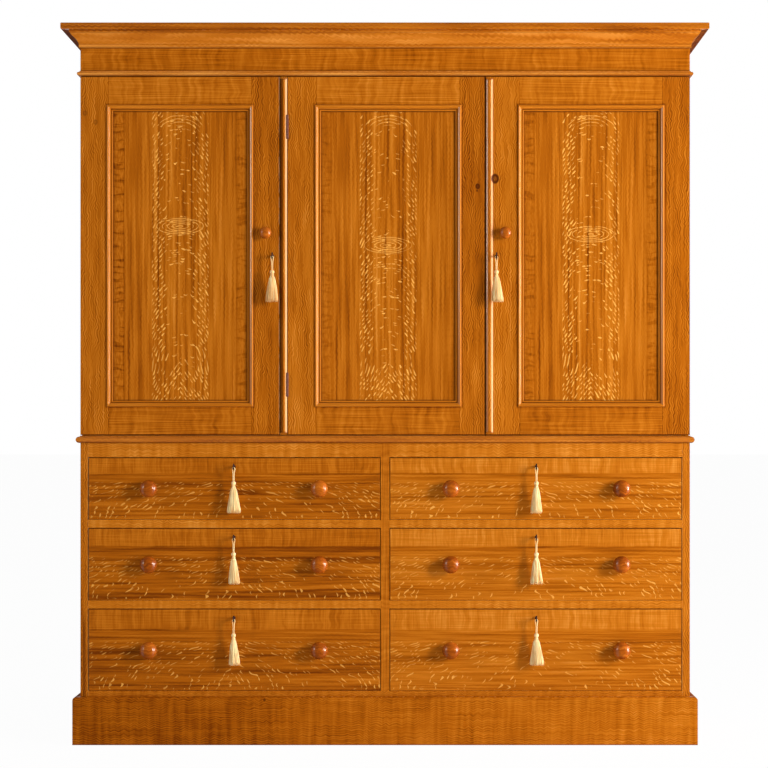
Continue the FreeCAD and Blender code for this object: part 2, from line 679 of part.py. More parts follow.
def outer_hinge_recesses(door, part):
    """Room for an outer door's hinges in the door's back or in the edge of the case side."""
    axis = OUTER_AXIS[door]
    deep = "(leaf_thickness + leaf_gap)"
    reach = "(leaf_width - outer_axis + leaf_end_gap)"
    x = f"-{HALF}" if door == "left" else f"{HALF} - {reach}"
    y = axis[1] if part == "side" else f"{axis[1]} - {deep}"
    return hinge_recesses(f"{door}_{part}", "outer", axis, (x, y), (reach, deep))


def centre_hinge_recesses(part):
    """Room for the middle door's hinges in the mullion or in the door's stile."""
    x, y = CENTRE_AXIS
    deep = "(leaf_thickness + leaf_gap)"
    start = f"{x} - {deep}" if part == "mullion" else x
    return hinge_recesses(part, "centre", CENTRE_AXIS, (start, y), (deep, "leaf_width + leaf_end_gap"))


def door(name, mouldings, knob_shape, key, tassel, fixed_leaves):
    """A framed door with tenoned rails, a panel in grooves and its fittings."""
    x, width = DOOR_X[name], f"{name}_door_width"
    field = f"{name}_field"
    origin = (x, FRONT, DOOR_Z)

    def local(tag, corner, sizes):
        return board(f"{name}_{tag}", [f"{a} + {b}" for a, b in zip(origin, corner)], sizes)

    stile = f"({field} + moulding_lap)"
    far_stile = f"({width} - {field} - field_width + moulding_lap)"
    inner = f"({width} - {stile} - {far_stile})"
    rail = "(door_rail + moulding_lap)"
    panel = local("panel_board", (f"{stile} - panel_tongue", "panel_setback", f"{rail} - panel_tongue"),
                  (f"{inner} + 2 * panel_tongue", "panel_thickness",
                   f"door_height - 2 * {rail} + 2 * panel_tongue"))
    rails = []
    for tag, bottom in (("bottom", "0"), ("top", f"(door_height - {rail})")):
        plank = local(f"{tag}_rail_plank", (stile, "0", bottom), (inner, "door_thickness", rail))
        tenon = local(f"{tag}_tenon", (f"{stile} - tenon_length", "panel_setback", f"{bottom} + tenon_inset"),
                      (f"{inner} + 2 * tenon_length", "panel_thickness", f"{rail} - 2 * tenon_inset"))
        rails.append(cut(f"{name}_{tag}_rail", fuse(f"{name}_{tag}_tenoned", plank, tenon), panel))

    fixed, moving = hinge_pair(name)
    fixed_leaves += fixed
    fittings = list(moving)
    rooms = {"near": [], "far": []}
    if name == "centre":
        rooms["near"] += centre_hinge_recesses("centre_stile")
    else:
        rooms["near" if name == "left" else "far"] += outer_hinge_recesses(name, "door")
        lock_side = "far" if name == "left" else "near"
        shift = [f"{name}_key_x", "0", "door_key_z"]
        spot = [f"{a} + {b}" for a, b in zip(origin, shift)]
        reach = "(lock_width - lock_edge)" if name == "left" else "lock_edge"
        lock, lock_room = lock_parts(f"{name}_lock", "0", "(door_thickness - lock_thickness)", reach)
        fittings.append(group(f"{name}_lock_seated", [lock], spot))
        rooms[lock_side] += [group(f"{name}_{tool.Name}_seated", [tool], spot) for tool in lock_room]
        knob_spot = [f"{a} + {b}" for a, b in zip(origin, (f"{name}_knob_x", "0", "door_knob_z"))]
        rooms[lock_side].append(rod(f"{name}_spigot", (knob_spot[0], f"{FRONT} - {THROUGH}", knob_spot[2]),
                                    V(0, 1, 0), "door_spigot_radius", f"front_thickness + {THROUGH}"))

    stiles = []
    for tag, start, wide in (("near", "0", stile), ("far", f"({width} - {far_stile})", far_stile)):
        plank = local(f"{tag}_stile_plank", (start, "0", "0"), (wide, "door_thickness", "door_height"))
        stiles.append(cut(f"{name}_{tag}_stile", plank, *rails, panel, *rooms[tag]))
    strips = [group(f"{name}_{strip.Name}", [strip], (f"{x} + {field}", FRONT, f"{DOOR_Z} + door_rail"))
              for strip in mouldings]
    if name == "right":
        strips.append(bead_strip("astragal", "astragal_width",
                                 (f"{x} + astragal_width", FRONT, f"{DOOR_Z} + bead_margin")))
    node(f"{name}_door_frame", *stiles, *rails, *strips)
    node(f"{name}_door_panel", panel)
    node(f"{name}_door_hardware", *fittings)
    if name != "centre":
        node(f"{name}_door_knob", knob_shape, corner=knob_spot)
        node(f"{name}_door_key", key, corner=spot)
        node(f"{name}_door_tassel", *tassel, corner=spot)


def front_facing(name, piece):
    """A turned piece swung round so that its axis points out of the front."""
    swung = group(name, [piece])
    swung.Placement = FreeCAD.Placement(V(), FreeCAD.Rotation(V(0, 0, 1), 180))
    return swung


plinth()
chest_boards()
waist()
case_sides("chest_sides", FRONT, "plinth_height", f"({WAIST_Z} - plinth_height)")
side_rooms = [(side, room) for side in ("left", "right") for room in outer_hinge_recesses(side, "side")]
case_sides("cupboard_sides", CASE_FRONT, UPPER_Z, f"({CORNICE_Z} - {UPPER_Z})", side_rooms)
back_boards()
cupboard_boards()
head()

key = key_shape()
tassel = tassel_shapes()
drawer_knob = front_facing("drawer_knob", knob("drawer_knob"))
door_knob = front_facing("door_knob", knob("door_knob"))
frame_leaves = []
strips = panel_mouldings()
for which in DOOR_X:
    door(which, strips, door_knob, key, tassel, frame_leaves)
node("hinge_frame_leaves", *frame_leaves)
for row in ROWS:
    drawer_row(row, drawer_knob, key, tassel)

doc.recompute()
failed = [obj.Name for obj in doc.Objects if {"Invalid", "Error"} & set(obj.State)]
failed += [part.Name for part in NODES if part.Shape.isNull() or not part.Shape.isValid()]
if failed:
    raise RuntimeError("these objects failed: " + ", ".join(failed))
os.makedirs("parts", exist_ok=True)
for part in NODES:
    Part.makeCompound(part.Shape.Solids).exportStep(f"parts/{part.Label}.step")
    print(part.Label, len(part.Shape.Solids), "solids", round(part.Shape.Volume / 1000), "cm3")
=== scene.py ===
"""Looks of the linen press: oak graining over pine, turned knobs, iron hinges and cotton tassels."""

import math

import bpy
import numpy as np
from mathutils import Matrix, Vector


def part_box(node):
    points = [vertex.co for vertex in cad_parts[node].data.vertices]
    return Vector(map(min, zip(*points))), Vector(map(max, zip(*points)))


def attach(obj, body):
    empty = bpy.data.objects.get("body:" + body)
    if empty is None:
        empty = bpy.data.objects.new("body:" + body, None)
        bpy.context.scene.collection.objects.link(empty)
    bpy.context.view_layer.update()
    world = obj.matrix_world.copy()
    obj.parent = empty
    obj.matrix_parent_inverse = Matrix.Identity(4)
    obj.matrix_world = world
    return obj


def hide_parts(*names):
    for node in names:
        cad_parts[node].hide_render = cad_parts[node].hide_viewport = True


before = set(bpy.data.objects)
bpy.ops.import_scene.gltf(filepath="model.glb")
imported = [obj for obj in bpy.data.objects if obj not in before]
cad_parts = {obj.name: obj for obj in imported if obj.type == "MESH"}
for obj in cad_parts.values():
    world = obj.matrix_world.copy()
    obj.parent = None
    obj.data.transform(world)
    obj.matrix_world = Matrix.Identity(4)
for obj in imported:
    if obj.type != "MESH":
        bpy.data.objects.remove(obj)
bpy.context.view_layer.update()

# The case, in metres: its front plane, half its width, the thickness of its sides, half the width of the
# muntin between the drawers, and the number of boards in its back.
FRONT = -0.221
HALF_WIDTH = 0.8775
SIDE_THICKNESS = 0.022
MUNTIN_HALF = 0.0125
BACK_BOARDS = 9
# How far a drawer's lock is from the middle of the press and its knobs from the lock, and the knobs' radii.
LOCK_X = 0.434
KNOB_X = 0.245
DRAWER_KNOB_RADIUS = 0.025
DOOR_KNOB_RADIUS = 0.017
# The panels' tongues, and the mouldings round the panels: how far they lap onto the frame, their width, and
# the places of their rubbed middle and of the groove beside it, from their outer edge.
PANEL_TONGUE = 0.008
MOULDING_LAP = 0.006
MOULDING_START = PANEL_TONGUE - MOULDING_LAP
MOULDING_WIDTH = 0.018
PANEL_COVER = MOULDING_START + MOULDING_WIDTH
FACET_DEPTH = 0.0069
QUIRK_DEPTH = 0.0126
# Levels on the cornice, down from its top: the edges of two fillets, painted as lines of shade, and a paler
# band.
UPPER_FILLET = 0.0245
LOWER_FILLET = 0.0535
PALE_BAND = 0.061
# Where, in x, the mullion's bead is painted darker as shade at its left and paler as a highlight at its
# right, and where a stain is.
BEAD_SHADED = (-0.2915, -0.2955)
BEAD_LIT = (-0.2890, -0.2865)
STAIN_X = -0.867
# How far behind the front plane the paint of each piece ends.
DOOR_PAINTED = 0.0232
PANEL_PAINTED = 0.0155
DRAWER_PAINTED = 0.0212
MULLION_PAINTED = 0.0245
BOARD_PAINTED = 0.002

# The photograph's frame, and the camera's place worked out from it.
PIXELS = 768
METRES_A_PIXEL = 0.00288
MIDDLE_PIXEL = 385.15
VANISHING_PIXEL = (416, 428)
EYE_HEIGHT = 0.910
DISTANCE = 5.5
SENSOR = 36

# Glaze from its darkest lines to where it is thinnest, and the ground that shows in wiped flecks.
GLAZE = [
    (0.0, (0.150, 0.028, 0.001)),
    (0.33, (0.350, 0.090, 0.003)),
    (0.60, (0.485, 0.146, 0.008)),
    (1.0, (0.710, 0.290, 0.046)),
]
FLECK = (0.820, 0.400, 0.075)
# Pale wear, also laid on as painted highlight on edges and beads where they face the light.
WEAR_AND_HIGHLIGHT = (0.900, 0.520, 0.270)
# Dark grime, also laid on as painted shade in grooves and gaps, beside mouldings and on edges away from the
# light.
GRIME_AND_SHADE = (0.070, 0.010, 0.001)
# Tint of the varnish, its own gloss, the share of clear gloss on mouldings, facets and beads, the roughness
# of that gloss, of grime and painted shade and of bare wood, and the depth of the brush marks.
VARNISH = (1.0, 0.62, 0.18)
VARNISH_SHEEN = 0.14
LEVEL_SHEEN = 0.05
MULLION_SHEEN = 0.04
MOULDING_COAT = 0.25
CORNICE_COAT = 0.10
FACET_COAT = 1.0
BEAD_COAT = 0.10
COAT_ROUGHNESS = 0.16
KNOB_COAT_ROUGHNESS = 0.20
GRIME_AND_SHADE_ROUGHNESS = 0.9
BARE_ROUGHNESS = 0.66
BRUSH_RELIEF = 0.0002
# Bare pine, the joints between its boards, polished knobs, dull metal and cotton, each from dark to light.
PINE = [
    (0.0, (0.300, 0.145, 0.052)),
    (0.5, (0.520, 0.310, 0.135)),
    (1.0, (0.640, 0.430, 0.220)),
]
PINE_SHEEN = 0.08
PINE_RELIEF = 0.0003
JOINT_SHADE = (0.050, 0.020, 0.008)
KNOB_WOOD = [
    (0.0, (0.110, 0.014, 0.001)),
    (0.5, (0.310, 0.066, 0.004)),
    (1.0, (0.520, 0.140, 0.011)),
]
IRON = [(0.0, (0.055, 0.012, 0.010)), (1.0, (0.160, 0.060, 0.045))]
# The keys' steel: dull dark steel, darkened almost to black as painted shade of the keyholes they sit in.
STEEL = [(0.0, (0.012, 0.004, 0.004)), (1.0, (0.055, 0.022, 0.018))]
COTTON = [(0.0, (0.84, 0.42, 0.13)), (1.0, (1.0, 0.90, 0.50))]
DAYLIGHT = (1.0, 0.97, 0.93)

# Graining: its middle tone, the pitches of comb lines and zigzags, the width of the panels' crossbanding,
# how far a level piece's pattern shifts with depth, and the soft edge of a wiped fleck.
MID_TONE = 0.45
COMB_PITCH = 0.0064
ZIGZAG_PITCH = 0.029
CROSSBAND_WIDTH = 0.031
DEPTH_SHIFT = 0.31
FLECK_EDGE = (-0.0009, 0.0006)
# Wiped strokes: the pitch of their lines, their columns' width, their length and their thickness.
PANEL_STROKE = (0.0138, 0.0125, 0.0150, 0.0010)
RUNG_STROKE = (0.0068, 0.0140, 0.0130, 0.0009)
DRAWER_STROKE = (0.0165, 0.0140, 0.0165)
# Dark knots of the pine that show through, and a nail hole in the plinth: x, z, radius, darkness and
# how pale the middle is.
KNOTS = {
    "left": [(-0.8644, 1.817, 0.0075, 0.45, 0.4), (-0.8344, 1.791, 0.0075, 0.45, 0.4)],
    "centre": [(0.2665, 1.6060, 0.0080, 0.95, 0.1), (0.2645, 1.5940, 0.0035, 0.75, 0.0)],
    "right": [(0.3165, 1.6280, 0.0135, 0.97, 0.40)],
    "plinth": [(-0.346, 0.1295, 0.004, 1.0, 0.4)],
}
# Each panel: the height of its eye, its seed, and how strong its crossbanding is on the left and right.
PANELS = {
    "left": (1.492, 3.1, (0.90, 0.60)),
    "centre": (1.437, 11.7, (0.45, 0.12)),
    "right": (1.469, 23.4, (0.60, 0.55)),
}
DRAWERS = [f"{row}_{side}_drawer" for row in ("low", "middle", "top") for side in ("left", "right")]

# A tassel, in metres: how far under its top the key's bow holds the cord, and under that its knot and skirt
# begin; how far one piece laps into the next; and the radius to which each end closes.
BOW_DROP = 0.0046
KNOT_DROP = 0.036
SKIRT_DROP = 0.051
TASSEL_LAP = 0.001
TIP = 0.00002
KNOT_RADIUS = 0.0062
KNOT_HALF_HEIGHT = 0.0060
BAND_RADII = (0.0046, 0.0052)
BAND_DROP = 0.0105
BAND_HEIGHT = 0.0055
CORE_RADIUS = 0.0042
THREADS = 220
THREAD_RADIUS = 0.00085
THREAD_TIP = 0.00001
# The furthest that a skirt reaches from its middle towards the front it hangs against.
SKIRT_REACH = 0.0132
FIRST_SKIRT_SEED = 40
# Spread and lean of each tassel's skirt, as the photograph shows them.
SKIRTS = {
    "left_door": (0.0185, -0.001), "right_door": (0.0185, 0.003),
    "top_left_drawer": (0.0200, 0.001), "middle_left_drawer": (0.0165, 0.002),
    "low_left_drawer": (0.0160, 0.003), "top_right_drawer": (0.0170, 0.0),
    "middle_right_drawer": (0.0180, 0.001), "low_right_drawer": (0.0210, 0.002),
}
# The cord's diameter, length and end inside the skirt, and its route from there: to the side of the knot's
# middle and up from the knot's top.
CORD_DIAMETER = 0.0024
CORD_ROUTE = [
    (-0.0002, -0.038), (-0.0005, -0.025), (-0.0014, -0.012), (-0.0014, 0.000), (-0.0014, 0.012),
    (-0.0016, 0.025), (-0.0034, 0.034), (-0.0036, 0.0385), (0.0, 0.0412), (0.0036, 0.0385),
    (0.0034, 0.034), (0.0016, 0.025), (0.0014, 0.012), (0.0014, 0.000),
]

# The studio: light of the world, the floor's share of its own white, and half the floor's side in metres.
WORLD_LIGHT = 0.17
FLOOR_GLOW = 0.97
FLOOR_HALF = 60


class Field:
    """A number that varies over a surface: a shader socket that takes ordinary arithmetic."""

    def __init__(self, paint, socket):
        self.paint = paint
        self.socket = socket

    def __add__(self, other):
        return self.paint.math("ADD", self, other)

    def __sub__(self, other):
        return self.paint.math("SUBTRACT", self, other)

    def __rsub__(self, other):
        return self.paint.math("SUBTRACT", other, self)

    def __mul__(self, other):
        return self.paint.math("MULTIPLY", self, other)

    def __truediv__(self, other):
        return self.paint.math("DIVIDE", self, other)

    def __pow__(self, other):
        return self.paint.math("POWER", self, other)

    def __abs__(self):
        return self.paint.math("ABSOLUTE", self)

    __radd__ = __add__
    __rmul__ = __mul__

    def sin(self):
        return self.paint.math("SINE", self)

    def floor(self):
        return self.paint.math("FLOOR", self)

    def fract(self):
        return self.paint.math("FRACT", self)

    def sign(self):
        return self.paint.math("SIGN", self)

    def low(self, other):
        return self.paint.math("MINIMUM", self, other)

    def high(self, other):
        return self.paint.math("MAXIMUM", self, other)

    def step(self, start, end):
        """A smooth step from 0 at start to 1 at end."""
        ramp = self.paint.node("ShaderNodeMapRange", interpolation_type="SMOOTHSTEP")
        for value, name in ((self, "Value"), (start, "From Min"), (end, "From Max")):
            self.paint.plug(value, ramp.inputs[name])
        return Field(self.paint, ramp.outputs["Result"])


class Paint:
    """A material whose colour, gloss and relief are formulas of the place on the press."""

    def __init__(self, name):
        self.material = bpy.data.materials.new(name)
        self.material.use_nodes = True
        self.tree = self.material.node_tree
        self.shader = self.tree.nodes["Principled BSDF"]
        place = self.node("ShaderNodeTexCoord").outputs["Object"]
        split = self.node("ShaderNodeSeparateXYZ")
        self.tree.links.new(place, split.inputs[0])
        self.x, self.y, self.z = (Field(self, socket) for socket in split.outputs)

    def node(self, kind, **settings):
        made = self.tree.nodes.new(kind)
        for setting, value in settings.items():
            setattr(made, setting, value)
        return made

    def plug(self, value, socket):
        """Links a field to a socket, or sets a plain number on it."""
        if isinstance(value, Field):
            self.tree.links.new(value.socket, socket)
        else:
            socket.default_value = value

    def math(self, operation, *values):
        made = self.node("ShaderNodeMath", operation=operation)
        for value, socket in zip(values, made.inputs):
            self.plug(value, socket)
        return Field(self, made.outputs[0])

    def join(self, *values):
        """Three numbers as one place for a texture."""
        made = self.node("ShaderNodeCombineXYZ")
        for value, socket in zip(values, made.inputs):
            self.plug(value, socket)
        return made.outputs[0]

    def noise(self, x, y, z=0.0, detail=1.0):
        """Smooth noise about zero, from about -0.25 to 0.25, with one wave to a unit of x, y or z."""
        made = self.node("ShaderNodeTexNoise")
        made.inputs["Scale"].default_value = 1
        made.inputs["Detail"].default_value = detail
        self.tree.links.new(self.join(x, y, z), made.inputs["Vector"])
        return Field(self, made.outputs[0]) - 0.5

    def hash(self, x, y, z=0.0):
        """A number from 0 to 1 that is another for each whole x, y and z."""
        made = self.node("ShaderNodeTexWhiteNoise", noise_dimensions="3D")
        self.tree.links.new(self.join(x, y, z), made.inputs["Vector"])
        return Field(self, made.outputs["Value"])

    def mix(self, share, first, second):
        """first where share is 0 and second where it is 1."""
        return first + share * (second - first)

    def ramp(self, tone, stops):
        """The colour that a tone from 0 to 1 has between stops."""
        made = self.node("ShaderNodeValToRGB")
        marks = made.color_ramp.elements
        while len(marks) < len(stops):
            marks.new(0.5)
        for mark, (position, colour) in zip(marks, stops):
            mark.position = position
            mark.color = (*colour, 1)
        self.plug(tone, made.inputs[0])
        return made.outputs["Color"]

    def blend(self, share, under, colour):
        """A colour laid over another, as thickly as share says."""
        made = self.node("ShaderNodeMix", data_type="RGBA")
        sockets = [s for s in made.inputs if s.type == "RGBA"]
        self.plug(share, made.inputs[0])
        self.tree.links.new(under, sockets[0])
        if isinstance(colour, tuple):
            sockets[1].default_value = (*colour, 1)
        else:
            self.tree.links.new(colour, sockets[1])
        return next(s for s in made.outputs if s.type == "RGBA")

    def fix(self, levels):
        """Sets numbers and colours that are the same all over on the shader's own sockets."""
        for name, level in levels.items():
            self.shader.inputs[name].default_value = level

    def dress(self, colour, roughness, relief, depth):
        """Links the colour and roughness to the shader, and a relief of a depth in metres."""
        self.tree.links.new(colour, self.shader.inputs["Base Color"])
        self.plug(roughness, self.shader.inputs["Roughness"])
        bump = self.node("ShaderNodeBump")
        bump.inputs["Distance"].default_value = depth
        self.plug(relief, bump.inputs["Height"])
        self.tree.links.new(bump.outputs["Normal"], self.shader.inputs["Normal"])
        return self.material


def behind(p, depth, soft=0.0004):
    """0 at a depth behind the front plane and 1 a soft stretch further back, or nearer if negative."""
    return p.y.step(FRONT + depth, FRONT + depth + soft)


def stands_proud(p):
    """1 on a bead that stands out from the front plane, and 0 on the plane."""
    return p.y.step(FRONT - 0.0004, FRONT - 0.0016)


def flattened(away, half, curve):
    """The relief, curve away^2 within half of a facet's middle, that flattens an arc to a facet."""
    held = away.high(-half).low(half)
    return held * held * curve


def wave(along, pitch, phase):
    """sin(2 pi along / pitch + phase), with the pitch in metres."""
    return (along * (math.tau / pitch) + phase).sin()


def combed(p, across, along):
    """Comb lines along the grain that sway together, over soft bands and fine brush marks.

    The lines are sines of across + sway + quiver, where sway and quiver are slower sines of along.
    """
    swing = p.noise(along * 5, across * 4).step(-0.1, 0.25)
    sway = wave(along, 0.061, p.noise(along * 9, across * 5) * 8) * swing
    quiver = wave(along, 0.024, p.noise(along * 22, across * 30) * 16)
    line = across + sway * 0.0024 + quiver * 0.0016
    lines = wave(line, COMB_PITCH, p.noise(line * 26, along * 2) * 5)
    strength = p.noise(along * 12, across * 24, 2.0).step(-0.26, 0.12)
    bands = p.noise(across * 40, along * 1.6)
    marks = p.noise(line * 190, along * 9)
    return MID_TONE + lines * strength * 0.18 + bands * 0.40 + marks * 0.70


def zigzag(p, across, along, comb=0.10):
    """Fine lines that go up and down together in uneven zigzags, with mottling across them.

    The zigzag is the triangle wave 4 |fract(along / pitch + phase) - 1/2| - 1, times an uneven swing.
    """
    phase = p.noise(along * 14, across * 9) * 1.6
    teeth = abs((along / ZIGZAG_PITCH + phase).fract() - 0.5) * 4 - 1
    swing = p.noise(along * 17, across * 30, 4.0) * 0.010 + 0.0026
    line = across + teeth * swing + p.noise(along * 6, across * 9) * 0.006
    lines = wave(line, COMB_PITCH, p.noise(along * 30, across * 40) * 3)
    strength = p.noise(along * 26, across * 40).step(-0.28, 0.06)
    mottle = p.noise(along * 60, across * 6, detail=2)
    streaks = p.noise(along * 5, line * 260)
    return MID_TONE + lines * strength * comb + mottle * 0.60 + streaks * 0.60


def mottled(p, across, along):
    """A crossbanded edge: ripples that cross the grain, softened, over fine lines along it."""
    ripple = p.noise(along * 70 + p.noise(along * 12, across * 30) * 2, across * 7, detail=2)
    lines = p.noise(along * 5, across * 330, detail=2)
    return MID_TONE + ripple * 0.70 + lines


def straight(p, across, along, waves=1.0):
    """Straight overgrain: soft bands and thin dark lines along the grain, under fine combing.

    waves says how much the combing and the thin lines quiver.
    """
    quiver = wave(along, 0.021, p.noise(along * 20, across * 30) * 16) * waves
    bend = across + p.noise(along * 2.2, across * 5) * 0.006
    broad = p.noise(bend * 46, along * 0.6, detail=2)
    thin = abs(p.noise((bend + quiver * 0.0010) * 30, along * 0.5, 6.0)).step(0.045, 0.0)
    comb = p.noise((bend + quiver * 0.0015) * 165, along * 5, detail=2)
    return 0.44 + broad * 0.60 - thin * 0.17 + comb * 0.95


def rays(p, inset, along, half, steep, stroke, crowd, side, seed, chevron=0.0, wild=1.1):
    """Pale ray flecks wiped out of half a strip: up to 1 on a fleck, 0 beside it.

    inset is the depth from the strip's edge, t = 1 - inset / half, and c is the chevron share. The
    flecks lie on the lines along = n pitch - steep half ((1 - c) t^1.8 / 1.8 + c t), which lean at
    the strip's edge and are square to it in the middle, or still lean there where c is 1. Columns
    cut the lines into bowed strokes with tapered ends, and a hash of line and column keeps the share
    in crowd. stroke holds the lines' pitch, the columns' width, the strokes' length and thickness.
    """
    pitch, column, length, thickness = stroke
    t = (1 - inset / half).high(0.0)
    wobble = p.noise(along * 24 + side * 3, inset * 26, seed)
    lean = p.mix(chevron, t ** 0.8, 1.0) * steep
    climb = p.mix(chevron, (t ** 1.8) / 1.8, t) * (steep * half)
    contour = (along + climb) / pitch + wobble * wild
    index = contour.floor()
    slant = (lean * lean + 1.0) ** -0.5
    place = inset / column + p.hash(index, seed) * 0.9 + wobble
    cell = place.floor()
    kept = p.hash(cell, index, side * 0.5 + seed)
    size = p.hash(index, cell + 0.5, side + seed)
    reach = ((size * 0.20 + 0.36) * slant * (length / column)).low(0.46)
    halfway = abs(place.fract() - 0.5) / reach
    bow = (halfway * halfway - 0.4) * (p.hash(cell, index, seed + 9) - 0.2) * 0.45
    away = abs(contour.fract() - 0.5 - bow) * slant * pitch
    taper = 1 - halfway * halfway
    thick = taper * (size * 1.1 + 1.0) * thickness
    mark = (thick - away).step(*FLECK_EDGE)
    gate = (crowd - kept).step(-0.01, 0.03)
    return mark * gate * inset.step(-0.002, 0.001) * (size * 0.45 + 0.55)


def eye_rings(p, across, along, seed, wide=0.078, tall=0.026, rings=5.2):
    """A flat eye: thin lines where r = sqrt((across / wide)^2 + (along / tall)^2) is n / rings."""
    wobble = p.noise(along * 34, across * 26, seed)
    a, b = across / wide, along / tall
    r = (a * a + b * b + 0.0001) ** 0.5
    slope = ((a / wide) * (a / wide) + (b / tall) * (b / tall)) ** 0.5 / r
    away = abs((r * rings + wobble * 0.6).fract() - 0.5) / (slope * rings)
    broken = p.noise(across * 55, along * 24, seed).step(-0.16, -0.04)
    return (0.0009 - away).step(*FLECK_EDGE) * r.step(1.05, 0.97) * broken * 0.75


def varnished(p, tone, flecks=None, wear_and_highlight=None, grime_and_shade=None, coat=0.0, bare=None, shape=0.0,
              sheen=VARNISH_SHEEN):
    """Glaze of a tone from 0 to 1 with flecks, grime and painted shade, wear and painted highlights, a
    glossier coat, and bare pine behind.

    shape is a relief in metres, added to that of the brush marks. sheen is the varnish's own gloss.
    """
    cloud = p.noise(p.x * 2.6 + p.y * 2, p.z * 2.6, detail=2) * 0.28
    tone = tone + cloud
    colour = p.ramp(tone, GLAZE)
    roughness = tone * 0.08 + 0.24
    if flecks is not None:
        colour = p.blend(flecks, colour, FLECK)
    if wear_and_highlight is not None:
        colour = p.blend(wear_and_highlight * 0.80, colour, WEAR_AND_HIGHLIGHT)
    if grime_and_shade is not None:
        colour = p.blend(grime_and_shade, colour, GRIME_AND_SHADE)
        roughness = p.mix(grime_and_shade, roughness, GRIME_AND_SHADE_ROUGHNESS)
    if bare is not None:
        wood, _ = pine_colour(p)
        colour = p.blend(bare, colour, wood)
        roughness = p.mix(bare, roughness, BARE_ROUGHNESS)
    p.fix({"Specular IOR Level": sheen, "Specular Tint": (*VARNISH, 1), "Coat Roughness": COAT_ROUGHNESS})
    p.plug(coat, p.shader.inputs["Coat Weight"])
    return p.dress(colour, roughness, tone * BRUSH_RELIEF + shape, 1.0)


def pine_colour(p, shade=0.0):
    """The colour and tone of pine with growth lines along z, paler by shade."""
    across = p.x + p.y * 0.8
    warp = p.noise(p.z * 2, across * 4) * 0.05
    lines = p.noise((across + warp) * 75, p.z * 1.1, detail=2)
    pores = p.noise(across * 700, p.z * 12)
    tone = 0.52 + lines * 1.3 + pores * 0.3 + shade
    return p.ramp(tone, PINE), tone


def bare_pine(p, colour, tone):
    """Dull unpainted pine of a colour, with its growth lines raised by its tone."""
    p.fix({"Specular IOR Level": PINE_SHEEN})
    return p.dress(colour, 0.68 + tone * 0.08, tone, PINE_RELIEF)


def pine_along(axis):
    """Bare pine for boards that lie along x or y: that axis changes places with z, along which pine grows."""
    p = Paint(f"pine_along_{axis}")
    if axis == "x":
        p.x, p.z = p.z, p.x
    if axis == "y":
        p.y, p.z = p.z, p.y
    return bare_pine(p, *pine_colour(p))


def back_paint():
    """Bare pine for the upright boards of the back, each with its own grain and tone and a dark joint."""
    p = Paint("back_pine")
    low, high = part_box("back_boards")
    width = (high[0] - low[0]) / BACK_BOARDS
    place = (p.x - low[0]) / width
    board = place.floor()
    from_joint = (0.5 - abs(place.fract() - 0.5)) * width
    p.x = p.x + board * 0.37
    colour, tone = pine_colour(p, (p.hash(board, 3.0) - 0.5) * 0.4)
    colour = p.blend(from_joint.step(0.0016, 0.0006) * 0.8, colour, JOINT_SHADE)
    return bare_pine(p, colour, tone)


def knots(p, spots):
    """How dark the paint is at knots with the given x, z, radius, darkness and share of a paler middle."""
    shade = p.x * 0.0
    for x, z, radius, dark, pale in spots:
        away = ((p.x - x) ** 2 + ((p.z - z) * 0.8) ** 2) ** 0.5
        ring = away.step(radius, radius * 0.70) - away.step(radius * 0.55, radius * 0.20) * pale
        shade = shade.high(ring * dark)
    return shade


